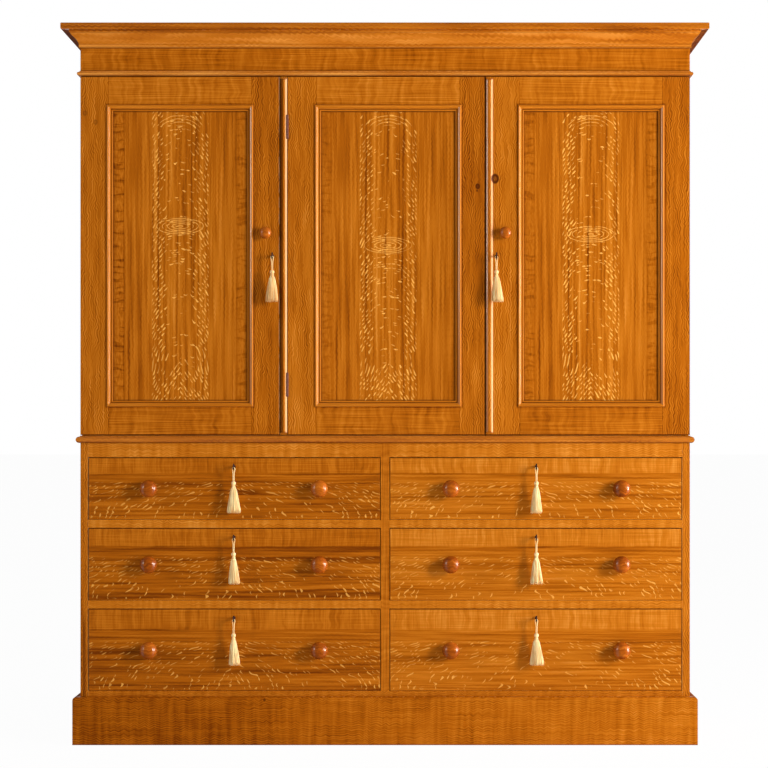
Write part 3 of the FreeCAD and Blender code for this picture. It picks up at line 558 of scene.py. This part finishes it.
def door_paint(name):
    """Combed stiles, mottled rails and glossy mouldings of a door, with the joints between them.

    dx and dz are the depths inwards from the outer edges of the upright and level mouldings.
    """
    p = Paint(f"{name}_door_paint")
    low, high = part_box(f"{name}_door_panel")
    frame_low, frame_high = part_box(f"{name}_door_frame")
    middle = [(a + b) / 2 for a, b in zip(low, high)]
    dx = (high[0] - low[0]) / 2 - MOULDING_START - abs(p.x - middle[0])
    dz = (high[2] - low[2]) / 2 - MOULDING_START - abs(p.z - middle[2])
    depth = dx.low(dz)
    in_rail = dx.step(MOULDING_LAP - 0.0005, MOULDING_LAP + 0.0005) * dz.step(0.0005, -0.0005)
    rail = mottled(p, p.z, p.x) + p.mix((p.z - middle[2]).step(0.1, -0.1), 0.04, -0.06)
    stile = combed(p, p.x, p.z) - (p.x - middle[0]).step(0.0, 0.1) * 0.12
    flat = p.mix(in_rail, stile, rail)
    joint = abs(dx - MOULDING_LAP).step(0.0011, 0.0004) * dz.step(0.0, -0.002)
    level = (dx - dz).step(-0.0003, 0.0003)
    along = p.mix(level, p.z, p.x)
    on_strip = depth.step(-0.0001, 0.0003)
    strip = 0.56 + p.noise(depth * 260, along * 3.5, detail=2) * 0.6
    # The frame is painted darker in a 7 mm band beside the moulding, as the moulding's shadow.
    tone = p.mix(on_strip, flat - joint * 0.22 - depth.step(-0.007, 0.0) * 0.24, strip)

    # The middle of each moulding is rubbed to a facet that faces 30 degrees inwards: its arc has a
    # radius of 10.4 mm, which a parabola of about that curvature flattens.
    slope = flattened(depth - FACET_DEPTH, 0.0028, 80)
    upright = level.step(0.6, 0.4)
    facing_left = (p.x - middle[0]).step(-0.1, 0.1)
    facet = abs(depth - FACET_DEPTH).step(0.0032, 0.0024)
    coat = facet * upright * p.mix(facing_left, 0.25, FACET_COAT)

    # Painted shade darkens the moulding's grooves and edges, the door's foot and head and the gaps beside it.
    grime_and_shade = abs(depth - QUIRK_DEPTH).step(0.0017, 0.0004) * 0.75
    grime_and_shade = grime_and_shade.high(depth.step(0.0014, 0.0001) * on_strip * 0.55)
    grime_and_shade = grime_and_shade.high(depth.step(MOULDING_WIDTH - 0.0014, MOULDING_WIDTH) * 0.80)
    grime_and_shade = grime_and_shade.high((p.z - frame_low[2]).step(0.0026, 0.0010) * 0.95)
    grime_and_shade = grime_and_shade.high((frame_high[2] - p.z).step(0.0020, 0.0006) * 0.70)
    from_left, from_right = p.x - frame_low[0], frame_high[0] - p.x
    either = from_left.low(from_right)
    # Painted shade on the faces of the doors' edges inside the gaps.
    gap = behind(p, 0.0006, 0.0010) * behind(p, 0.016, -0.010) * 0.92
    wear_and_highlight = None
    if name == "left":
        # Its right edge is painted pale in patches, as wear and as painted highlight where it faces the
        # light; its left edge and gap have painted shade.
        patch = p.noise(p.x * 90, p.z * 40, detail=2) + p.noise(p.z * 6, 4.2) * 0.8
        edge = from_right.step(0.0024, 0.0008) * behind(p, 0.0006, -0.0006)
        wear_and_highlight = edge * patch.step(-0.16, 0.04) * 0.5
        grime_and_shade = grime_and_shade.high(from_left.step(0.0026, 0.0008) * 0.45).high(from_right.step(0.0006, 0.0002) * gap)
    if name == "centre":
        # Painted shade at its left edge, and the right door's bead's shadow painted along its right edge and
        # gaps.
        grime_and_shade = grime_and_shade.high(from_left.step(0.0016, 0.0005) * 0.55).high(from_right.step(0.0034, 0.0008) * 0.80)
        grime_and_shade = grime_and_shade.high(either.step(0.0006, 0.0002) * gap)
    if name == "right":
        # Its bead, an arc of 13.4 mm, is rubbed near its left edge and painted pale at its right as a
        # highlight; its edges and gap have painted shade.
        on_bead = stands_proud(p) * (1 - on_strip)
        glint = abs(from_left - 0.0032).step(0.0026, 0.0018)
        coat = coat.high(on_bead * p.mix(glint, BEAD_COAT, FACET_COAT))
        slope = slope + flattened(from_left - 0.0028, 0.0024, 66) * (1 - on_strip)
        wear_and_highlight = on_bead * from_left.step(0.0130, 0.0160) * 0.5
        grime_and_shade = grime_and_shade.high(either.step(0.0016, 0.0005) * 0.55).high(from_left.step(0.0006, 0.0002) * gap)
    if name in KNOTS:
        grime_and_shade = grime_and_shade.high(knots(p, KNOTS[name]))
    return varnished(p, tone, wear_and_highlight=wear_and_highlight, grime_and_shade=grime_and_shade, coat=coat, bare=behind(p, DOOR_PAINTED), shape=slope)


def panel_paint(name, eye, seed, bands):
    """A door panel: straight overgrain, crossbanding at its sides and a figured strip up its middle.

    bands says how strong the crossbanding is on the left and on the right.
    """
    p = Paint(f"{name}_panel_paint")
    low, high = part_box(f"{name}_door_panel")
    across = p.x - (low[0] + high[0]) / 2
    side = across.sign()
    edge = (high[0] - low[0]) / 2 - PANEL_COVER - abs(across)
    top, foot = high[2] - PANEL_COVER - p.z, p.z - low[2] - PANEL_COVER
    border = CROSSBAND_WIDTH + p.noise(p.z * 5, seed) * 0.006
    strength = p.mix(side * 0.5 + 0.5, *bands)
    fade = p.mix(strength, 0.016, 0.002)
    band = (edge - border).step(fade, fade * -1)
    ripple = p.noise(p.x * 16, p.z * 78 + p.noise(p.x * 20, p.z * 16) * 2, detail=2)
    crossband = MID_TONE - ripple.step(0.0, 0.16) * 0.34 + p.noise(p.x * 190, p.z * 60) * 0.80
    tone = p.mix(band * strength, straight(p, across, p.z, 0.55), crossband)
    tone = tone - abs(edge - border).step(0.0030, 0.0008) * strength * strength * 0.26

    strip = 0.081
    inset = strip - abs(across)
    columns = p.noise(across * 84, p.z * 0.9, seed, detail=2) * inset.step(-0.004, 0.004)
    tone = tone + columns * 0.95
    at_foot, at_top = foot.step(0.150, 0.070), top.step(0.085, 0.030)
    from_eye = p.z - eye
    patches = p.noise(across * 14, p.z * 16, seed) * 0.7
    crowd = (inset.step(0.050, 0.022) * 0.80 + 0.06 + patches).high(at_foot * 0.78) * (1 - at_top * 0.6)
    crowd = crowd * abs(from_eye).step(0.014, 0.030).high(inset.step(0.030, 0.020))
    flecks = rays(p, inset, p.z, strip, 1.5, PANEL_STROKE, crowd, side, seed, chevron=at_foot * 0.7)
    middle = 0.040
    rung_crowd = 0.07 + abs(from_eye + 0.03).step(0.090, 0.040) * 0.30 + at_top * 0.25
    rungs = rays(p, middle - abs(across), p.z, middle, 0.25, RUNG_STROKE, rung_crowd, side, seed + 50)
    rungs = rungs * (1 - at_foot)
    arch = eye_rings(p, across, 0.062 - top, seed + 5, 0.080, 0.054, 6.0) * top.step(0.045, 0.036)
    flecks = flecks.high(rungs).high(eye_rings(p, across, from_eye, seed)).high(arch * 0.9)
    flecks = flecks * (0.95 - columns.step(-0.05, -0.14) * 0.60)
    # Painted shade along the panel's edges, under the moulding.
    grime_and_shade = edge.step(0.006, 0.0).high(foot.low(top).step(0.006, 0.0)) * 0.45
    return varnished(p, tone, flecks=flecks, grime_and_shade=grime_and_shade, bare=behind(p, PANEL_PAINTED))


def drawer_paint(name, seed):
    """A drawer front: crossbanding along its top, straight overgrain and half a figured strip below."""
    p = Paint(f"{name}_paint")
    low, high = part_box(f"{name}_front")
    tall, wide = high[2] - low[2], high[0] - low[0]
    drop = (high[2] - p.z) / tall
    ripple = p.noise(p.x * 84 + p.noise(p.x * 14, p.z * 24) * 2, p.z * 7, seed, detail=2)
    crossband = 0.56 + ripple * 0.65 + p.noise(p.x * 300, p.z * 9) * 0.35 + p.noise(p.x * 6, p.z * 320) * 0.5
    band = (drop + p.noise(p.x * 20, p.z * 20) * 0.03).step(0.27, 0.23)
    # Painted light and shade: the left drawers are darker and the right ones lighter.
    shade = -0.14 if "left" in name else 0.04
    tone = p.mix(band, straight(p, p.z, p.x + seed, 0.25), crossband) + shade

    half = tall * 0.60
    inset = low[2] + half - p.z
    from_middle = p.x - (low[0] + wide * 0.49)
    end = (p.x - low[0]).low(high[0] - p.x)
    patches = p.noise(p.x * 13, p.z * 14, seed) * 0.8
    crowd = 0.34 + inset.step(0.070, 0.030) * 0.24 + patches + end.step(0.16, 0.05) * 0.25
    crowd = crowd.high(inset.step(0.017, 0.012) * 0.85)
    near_foot = (p.z - low[2]).step(0.075, 0.020)
    stroke = (*DRAWER_STROKE, near_foot * 0.0004 + 0.0007)
    flecks = rays(p, inset, abs(from_middle), half, 2.2, stroke, crowd, from_middle.sign(), seed, wild=2.4)
    flecks = flecks * (near_foot * 0.14 + 0.60) * (p.z - low[2]).step(0.002, 0.007)
    # Painted shadow of the rail along the drawer's top, and painted shade at its ends and foot.
    gap = (high[2] - p.z).step(0.0022, 0.0008) * 0.90
    sides = end.step(0.0016, 0.0006) * 0.70
    grime_and_shade = gap.high(sides).high((p.z - low[2]).step(0.0014, 0.0005) * 0.55)
    return varnished(p, tone, flecks=flecks, grime_and_shade=grime_and_shade, bare=behind(p, DRAWER_PAINTED))


def level_paint(name, pattern, lift=0.0, coat=0.0):
    """A rail, moulding or plinth with its grain along the front and back along the sides."""
    p = Paint(f"{name}_paint")
    low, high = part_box(name)
    tone = pattern(p, p.z + p.y * DEPTH_SHIFT, p.x - p.y) + lift
    # Darker along each piece's foot.
    grime_and_shade = (p.z - low[2]).step(0.005, 0.001) * 0.5
    drop = high[2] - p.z
    outside = abs(p.x) - HALF_WIDTH
    on_return = (outside + p.y - FRONT).step(0.0, 0.002) * outside.step(-0.001, 0.0005)
    if name == "plinth":
        # Painted shade: the plinth darkens towards its left, away from the light, and its returns' top edges
        # darken.
        tone = tone - p.x.step(0.5, -0.8) * 0.28
        grime_and_shade = grime_and_shade.high(on_return * drop.step(0.014, 0.006) * 0.60)
    if name == "cornice":
        tone = tone - drop.step(0.024, 0.021) * 0.24 + abs(drop - PALE_BAND).step(0.007, 0.004) * 0.12
        # Painted shade along the fillets' edges and on the returns' undersides.
        lines = abs(drop - UPPER_FILLET).step(0.0020, 0.0006)
        lines = lines.high(abs(drop - LOWER_FILLET).step(0.0018, 0.0006))
        grime_and_shade = grime_and_shade.high(lines * 0.30).high(on_return * drop.step(0.012, 0.018) * 0.70)
        coat = (1 - on_return) * coat
    if name == "frieze_board":
        # Painted shade above the neck moulding, under the cornice and along the left edge.
        seat = p.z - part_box("neck_moulding")[1][2]
        grime_and_shade = grime_and_shade.high(seat.step(0.0050, 0.0015) * 0.55).high(drop.step(0.004, 0.001) * 0.4)
        grime_and_shade = grime_and_shade.high((p.x + HALF_WIDTH).step(0.0026, 0.0008) * 0.45)
    if name in KNOTS:
        grime_and_shade = grime_and_shade.high(knots(p, KNOTS[name]))
    return varnished(p, tone, grime_and_shade=grime_and_shade, coat=coat, sheen=LEVEL_SHEEN)


def upright_paint(name):
    """The case's sides, combed along their height, with bare pine on their inner faces."""
    p = Paint(f"{name}_paint")
    inner = HALF_WIDTH - SIDE_THICKNESS
    bare = abs(p.x).step(inner + 0.0004, inner + 0.0001)
    # Painted shade along the left front edge; the stain low on the chest's side is a real mark.
    grime_and_shade = (p.x + HALF_WIDTH).step(0.0026, 0.0008) * behind(p, 0.003, -0.002) * 0.45
    if name == "chest_sides":
        stain = abs(p.x - STAIN_X).step(0.0050, 0.0034) * p.z.step(0.40, 0.33)
        grime_and_shade = grime_and_shade.high(stain * behind(p, 0.002, -0.001) * 0.55)
    return varnished(p, combed(p, p.x + p.y, p.z), grime_and_shade=grime_and_shade, bare=bare)


def mullion_paint():
    """The post between two doors: combed, its bead painted pale as a highlight on its right and dark as shade
    on its left and in its gaps.
    """
    p = Paint("mullion_paint")
    on_bead = stands_proud(p)
    # Painted shade on the post's sides in the gaps and on the bead's left; a painted highlight on the bead's
    # right.
    crevice = behind(p, -0.0004, 0.0010) * behind(p, 0.012, -0.006)
    grime_and_shade = (crevice * 0.9).high(on_bead * p.x.step(*BEAD_SHADED) * 0.72)
    painted_highlight = on_bead * p.x.step(*BEAD_LIT) * 0.75
    return varnished(p, combed(p, p.x + p.y, p.z) + 0.05, wear_and_highlight=painted_highlight, grime_and_shade=grime_and_shade,
                     bare=behind(p, MULLION_PAINTED, 0.0010), sheen=MULLION_SHEEN)


def rails_paint():
    """Zigzag on the rails between the drawers, and ripples across the muntin."""
    p = Paint("drawer_rails_paint")
    muntin = abs(p.x).step(MUNTIN_HALF + 0.0005, MUNTIN_HALF + 0.0001)
    rails = zigzag(p, p.z + p.y * DEPTH_SHIFT, p.x, 0.06) + 0.12
    tone = p.mix(muntin, rails, mottled(p, p.x, p.z))
    return varnished(p, tone)


def edged_boards_paint():
    """Boards along the front: grained on the edge that shows, bare pine behind it."""
    p = Paint("chest_boards_paint")
    tone = zigzag(p, p.z, p.x)
    bare = behind(p, BOARD_PAINTED, 0.001)
    p.x, p.z = p.z, p.x
    return varnished(p, tone, bare=bare)


def knob_paint(name, radius, middle=None):
    """Polished turned wood with darker streaks, glossier towards its sides where hands rub it.

    middle is the x of the knob's centre, and without it the paint is for a drawer's two knobs.
    """
    p = Paint(name)
    if middle is None:
        from_lock = p.x - p.x.sign() * LOCK_X
        aside = (abs(from_lock) - KNOB_X) * from_lock.sign() / radius
    else:
        aside = (p.x - middle) / radius
    gloss = aside.step(0.46, 0.70).high(abs(aside + 0.56).step(0.20, 0.10) * 0.5)
    along = p.x + p.z * 0.25
    streaks = p.noise(along * 14, p.z * 190 + p.noise(p.x * 60, p.z * 40) * 4, detail=2)
    each = p.noise(p.x * 2.3, p.z * 9) * 1.3
    tone = 0.50 + streaks * 1.1 + each + p.noise(p.x * 300, p.z * 900) * 0.2
    colour = p.ramp(tone, KNOB_WOOD)
    p.fix({"Specular IOR Level": VARNISH_SHEEN, "Specular Tint": (*VARNISH, 1),
           "Coat Roughness": KNOB_COAT_ROUGHNESS})
    p.plug(gloss, p.shader.inputs["Coat Weight"])
    return p.dress(colour, tone * 0.06 + 0.22, tone, 0.0001)


def metal_paint(name, shades, roughness, metallic):
    """Worn metal, bare or painted, its colour between two shades and its gloss uneven."""
    p = Paint(name)
    spots = p.noise(p.x * 160, p.z * 160 + p.y * 130, detail=2)
    colour = p.ramp(0.5 + spots * 1.6, shades)
    p.fix({"Metallic": metallic, "Specular IOR Level": 0.2})
    return p.dress(colour, roughness + spots * 0.4, spots, 0.0002)


def cotton_paint():
    """Cream cotton, darker between its threads, with the ridges of their twist."""
    p = Paint("tassel_thread")
    shade = p.noise(p.x * 520 + p.y * 400, p.z * 16, detail=2) - p.z.step(0.8, 1.0) * 0.07
    colour = p.ramp(0.5 + shade * 2.8, COTTON)
    p.fix({"Sheen Weight": 0.1, "Specular IOR Level": 0.2})
    twist = (p.z * 2600 + p.x * 1400).sin()
    return p.dress(colour, 0.72 + shade * 0.2, twist, 0.0002)


def finish_cad():
    """Gives every CAD node but the tassels its paint, wood or metal."""
    pine_x, pine_y = pine_along("x"), pine_along("y")
    iron = metal_paint("hinge_iron", IRON, 0.52, 0.2)
    steel = metal_paint("key_steel", STEEL, 0.45, 0.6)
    knobs = knob_paint("drawer_knob_polish", DRAWER_KNOB_RADIUS)
    looks = {
        "plinth": level_paint("plinth", zigzag),
        "drawer_rails": rails_paint(),
        "waist_moulding": level_paint("waist_moulding", straight, 0.04, MOULDING_COAT),
        "chest_sides": upright_paint("chest_sides"),
        "cupboard_sides": upright_paint("cupboard_sides"),
        "frieze_board": level_paint("frieze_board", mottled, -0.05),
        "neck_moulding": level_paint("neck_moulding", straight, 0.32, MOULDING_COAT),
        "cornice": level_paint("cornice", straight, 0.18, CORNICE_COAT),
        "partition": mullion_paint(),
        "chest_boards": edged_boards_paint(),
        "drawer_runners": pine_y,
        "back_boards": back_paint(),
        "cupboard_boards": pine_x,
        "shelves": pine_x,
        "hinge_frame_leaves": iron,
    }
    for name, (eye, seed, bands) in PANELS.items():
        looks[f"{name}_door_frame"] = door_paint(name)
        looks[f"{name}_door_panel"] = panel_paint(name, eye, seed, bands)
        looks[f"{name}_door_hardware"] = iron
    for name in ("left_door", "right_door"):
        ends = [corner[0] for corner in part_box(f"{name}_knob")]
        looks[f"{name}_knob"] = knob_paint(f"{name}_knob_polish", DOOR_KNOB_RADIUS, sum(ends) / 2)
        looks[f"{name}_key"] = steel
    for count, name in enumerate(DRAWERS):
        looks[f"{name}_front"] = drawer_paint(name, seed=5.3 + 7.9 * count)
        looks[f"{name}_box"] = pine_y
        looks[f"{name}_fittings"] = knobs
        looks[f"{name}_key"] = steel
    for name, look in looks.items():
        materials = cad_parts[name].data.materials
        materials.clear()
        materials.append(look)


def surface(points):
    """Points and faces of a form drawn shut at its ends, from an array of ring x point x 3."""
    rings, sides = points.shape[:2]
    ring, side = np.meshgrid(np.arange(rings - 1), np.arange(sides), indexing="ij")
    turn = (side + 1) % sides
    faces = np.stack([ring * sides + side, ring * sides + turn,
                      (ring + 1) * sides + turn, (ring + 1) * sides + side], axis=-1)
    return points.reshape(-1, 3), faces.reshape(-1, 4)


def piece(name, parts, material):
    """One object from several arrays of points and faces, all smooth."""
    shift, points, faces = 0, [], []
    for part_points, part_faces in parts:
        points.append(part_points)
        faces.append(part_faces + shift)
        shift += len(part_points)
    mesh = bpy.data.meshes.new(name)
    mesh.from_pydata(np.concatenate(points).tolist(), [], np.concatenate(faces).tolist())
    mesh.validate()
    mesh.polygons.foreach_set("use_smooth", np.ones(len(mesh.polygons), dtype=bool))
    mesh.materials.append(material)
    made = bpy.data.objects.new(name, mesh)
    bpy.context.collection.objects.link(made)
    return made


def threads(start, length, spread, lean, rng):
    """Threads of a skirt, as thin tubes, each with its own place round the skirt and its own end.

    At t from 0 at the top to 1 at the end, a thread of layer k is k (neck + (spread - neck) t^0.7) from
    the skirt's middle, less from front to back, and has gone lean t^1.6 to the side.
    """
    rings, sides = 9, 5
    t = np.linspace(0, 1, rings)[None, :]
    angle = rng.uniform(0, math.tau, THREADS)[:, None]
    layer = np.sqrt(rng.uniform(0.35, 1.0, THREADS))[:, None]
    neck = BAND_RADII[0]
    sway = 0.0008 * np.sin(t * 5 + rng.uniform(0, 6, (THREADS, 1))) * t
    radius = layer * (neck + (spread - neck) * t ** 0.7) + sway
    fall = length * (1 - rng.uniform(0, 0.05, (THREADS, 1)))
    flatness = min(0.8, SKIRT_REACH / spread)
    path = np.stack([start[0] + radius * np.cos(angle) + lean * t ** 1.6,
                     start[1] + flatness * radius * np.sin(angle),
                     start[2] - fall * t], axis=-1)
    around = np.linspace(0, math.tau, sides, endpoint=False)
    thick = np.full(rings, THREAD_RADIUS)
    thick[[0, -1]] = THREAD_TIP
    offset = np.stack([np.cos(around), np.sin(around), 0 * around], axis=-1)
    tubes = path[:, :, None, :] + thick[None, :, None, None] * offset[None, None, :, :]
    return [surface(tube[::-1]) for tube in tubes]


def turned_surface(start, radii, heights, sides, ridges=0.0, turns=1):
    """A round form: ring i has radius radii[i] at heights[i] under the start, with winding ridges."""
    around = np.linspace(0, math.tau, sides, endpoint=False)[None, :]
    rows = np.arange(len(radii))[:, None]
    swell = 1 + ridges * np.sin(around * turns + rows * 1.9)
    radius = np.array(radii)[:, None] * swell
    points = np.stack([start[0] + radius * np.cos(around), start[1] + radius * np.sin(around),
                       start[2] - np.array(heights)[:, None] + 0 * around], axis=-1)
    return surface(points[::-1])


def looped_cord(name, x, y, knot_top, cotton):
    """A cord on one smooth line, from inside the skirt up over the key's bow and back to the knot."""
    line = bpy.data.curves.new(name, "CURVE")
    line.dimensions = "3D"
    line.bevel_depth = CORD_DIAMETER / 2
    line.bevel_resolution = 3
    line.use_fill_caps = True
    spline = line.splines.new("NURBS")
    spline.points.add(len(CORD_ROUTE) - 1)
    for point, (side, rise) in zip(spline.points, CORD_ROUTE):
        point.co = (x + side, y, knot_top + rise, 1)
    spline.order_u = 3
    spline.use_endpoint_u = True
    spline.resolution_u = 8
    line.materials.append(cotton)
    cord = bpy.data.objects.new(name, line)
    bpy.context.collection.objects.link(cord)
    return cord


def wound_knot(name, x, y, knot_top, cotton):
    """A ball of wound thread, r = R sin(a)^0.8 at the height h (1 - cos a), over a ridged band."""
    turn = np.linspace(0, math.pi, 12)
    ball = turned_surface((x, y, knot_top + TASSEL_LAP), KNOT_RADIUS * np.sin(turn) ** 0.8 + TIP,
                          KNOT_HALF_HEIGHT * (1 - np.cos(turn)), 28, 0.07, 7)
    band_radii = [TIP, *np.resize(BAND_RADII, 7), TIP]
    band_heights = np.linspace(0, BAND_HEIGHT, len(band_radii))
    band = turned_surface((x, y, knot_top - BAND_DROP), band_radii, band_heights, 28)
    return piece(name, [ball, band], cotton)


def thread_skirt(name, x, y, skirt_top, foot, spread, lean, rng, cotton):
    """A skirt of threads round a core that widens half as much and ends a little above their ends."""
    length = skirt_top - foot
    t = np.linspace(0, 1, 12)
    inner = 0.85 * (CORE_RADIUS + 0.5 * (spread - CORE_RADIUS) * t)
    inner[[0, -1]] = TIP
    core = turned_surface((x, y, skirt_top), inner, 0.93 * length * t, 24)
    hanging = threads((x, y, skirt_top + TASSEL_LAP), length, spread, lean, rng)
    return piece(name, [core, *hanging], cotton)


def tassel(name, spread, lean, seed, cotton):
    """A cord looped over the key's bow, a wound knot and a skirt of threads, in place of the CAD's."""
    low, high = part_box(f"{name}_tassel")
    x, y = (low[0] + high[0]) / 2, (low[1] + high[1]) / 2
    rim = high[2] - BOW_DROP
    knot_top, skirt_top = rim - KNOT_DROP, rim - SKIRT_DROP
    rng = np.random.default_rng(seed)
    cord = looped_cord(f"{name}_cord", x, y, knot_top, cotton)
    knot = wound_knot(f"{name}_knot", x, y, knot_top, cotton)
    skirt = thread_skirt(f"{name}_skirt", x, y, skirt_top, low[2], spread, lean, rng, cotton)
    for part in (cord, knot, skirt):
        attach(part, name)
        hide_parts(f"{name}_tassel")


def lamp(name, spot, target, sizes, watts, colour):
    """A soft rectangular lamp that faces a target."""
    light = bpy.data.lights.new(name, "AREA")
    light.shape = "RECTANGLE"
    light.size, light.size_y = sizes
    light.energy = watts
    light.color = colour
    made = bpy.data.objects.new(name, light)
    made.location = spot
    made.rotation_euler = (Vector(target) - made.location).to_track_quat("-Z", "Y").to_euler()
    bpy.context.collection.objects.link(made)


def shown_white(tree, strength):
    """1 for what the camera or a reflection sees, so that it is white, and strength for other light."""
    path = tree.nodes.new("ShaderNodeLightPath")
    seen = path.outputs["Is Camera Ray"]
    for other in ("Is Glossy Ray", "Is Transmission Ray"):
        either = tree.nodes.new("ShaderNodeMath")
        either.operation = "MAXIMUM"
        tree.links.new(seen, either.inputs[0])
        tree.links.new(path.outputs[other], either.inputs[1])
        seen = either.outputs[0]
    level = tree.nodes.new("ShaderNodeMapRange")
    level.inputs["To Min"].default_value = strength
    tree.links.new(seen, level.inputs["Value"])
    return level.outputs["Result"]


def studio():
    """A white surround, two window-like lamps at the right and a small one at the left."""
    world = bpy.data.worlds.new("studio")
    world.use_nodes = True
    tree = world.node_tree
    ground = tree.nodes["Background"]
    ground.inputs["Color"].default_value = (1, 1, 1, 1)
    tree.links.new(shown_white(tree, WORLD_LIGHT), ground.inputs["Strength"])
    bpy.context.scene.world = world

    lamp("window", (5.1, -3.75, 2.2), (0, FRONT, 1.0), (1.3, 2.3), 405, DAYLIGHT)
    lamp("side_window", (4.5, -0.75, 0.9), (0, FRONT, 0.9), (1.0, 1.8), 180, DAYLIGHT)
    lamp("left_glint", (-5.4, -2.85, 2.4), (0, FRONT, 1.2), (0.4, 1.6), 95, (1, 1, 1))


def floor_paint():
    """A pale matt floor, almost white to the camera and in reflections, that keeps a soft shadow."""
    pale = bpy.data.materials.new("pale_floor")
    pale.use_nodes = True
    tree = pale.node_tree
    shader = tree.nodes["Principled BSDF"]
    shader.inputs["Base Color"].default_value = (0.90, 0.90, 0.90, 1)
    shader.inputs["Roughness"].default_value = 0.9
    glow = tree.nodes.new("ShaderNodeEmission")
    share = tree.nodes.new("ShaderNodeMath")
    share.operation = "MULTIPLY"
    share.inputs[1].default_value = FLOOR_GLOW
    tree.links.new(shown_white(tree, 0.0), share.inputs[0])
    both = tree.nodes.new("ShaderNodeMixShader")
    tree.links.new(share.outputs[0], both.inputs[0])
    tree.links.new(shader.outputs[0], both.inputs[1])
    tree.links.new(glow.outputs[0], both.inputs[2])
    tree.links.new(both.outputs[0], tree.nodes["Material Output"].inputs["Surface"])
    return pale


def pale_floor():
    """A wide level square that the press stands on."""
    mesh = bpy.data.meshes.new("floor")
    corners = [(x, y, 0) for x, y in ((-1, -1), (1, -1), (1, 1), (-1, 1))]
    mesh.from_pydata((np.array(corners) * FLOOR_HALF).tolist(), [], [(0, 1, 2, 3)])
    mesh.materials.append(floor_paint())
    floor = bpy.data.objects.new("floor", mesh)
    bpy.context.collection.objects.link(floor)


def photographer():
    """A camera square to the front whose shifted lens puts the vanishing point at its pixel."""
    lens = bpy.data.cameras.new("camera")
    lens.sensor_width = SENSOR
    lens.lens = SENSOR * DISTANCE / (METRES_A_PIXEL * PIXELS)
    lens.shift_x = (PIXELS / 2 - VANISHING_PIXEL[0]) / PIXELS
    lens.shift_y = (VANISHING_PIXEL[1] - PIXELS / 2) / PIXELS
    eye = bpy.data.objects.new("camera", lens)
    eye.location = ((VANISHING_PIXEL[0] - MIDDLE_PIXEL) * METRES_A_PIXEL, FRONT - DISTANCE, EYE_HEIGHT)
    eye.rotation_euler = (math.pi / 2, 0, 0)
    bpy.context.collection.objects.link(eye)
    bpy.context.scene.camera = eye


bpy.context.scene.view_settings.view_transform = "Standard"
photographer()
studio()
pale_floor()
finish_cad()
cotton = cotton_paint()
for seed, (name, (spread, lean)) in enumerate(SKIRTS.items(), start=FIRST_SKIRT_SEED):
    tassel(name, spread, lean, seed, cotton)
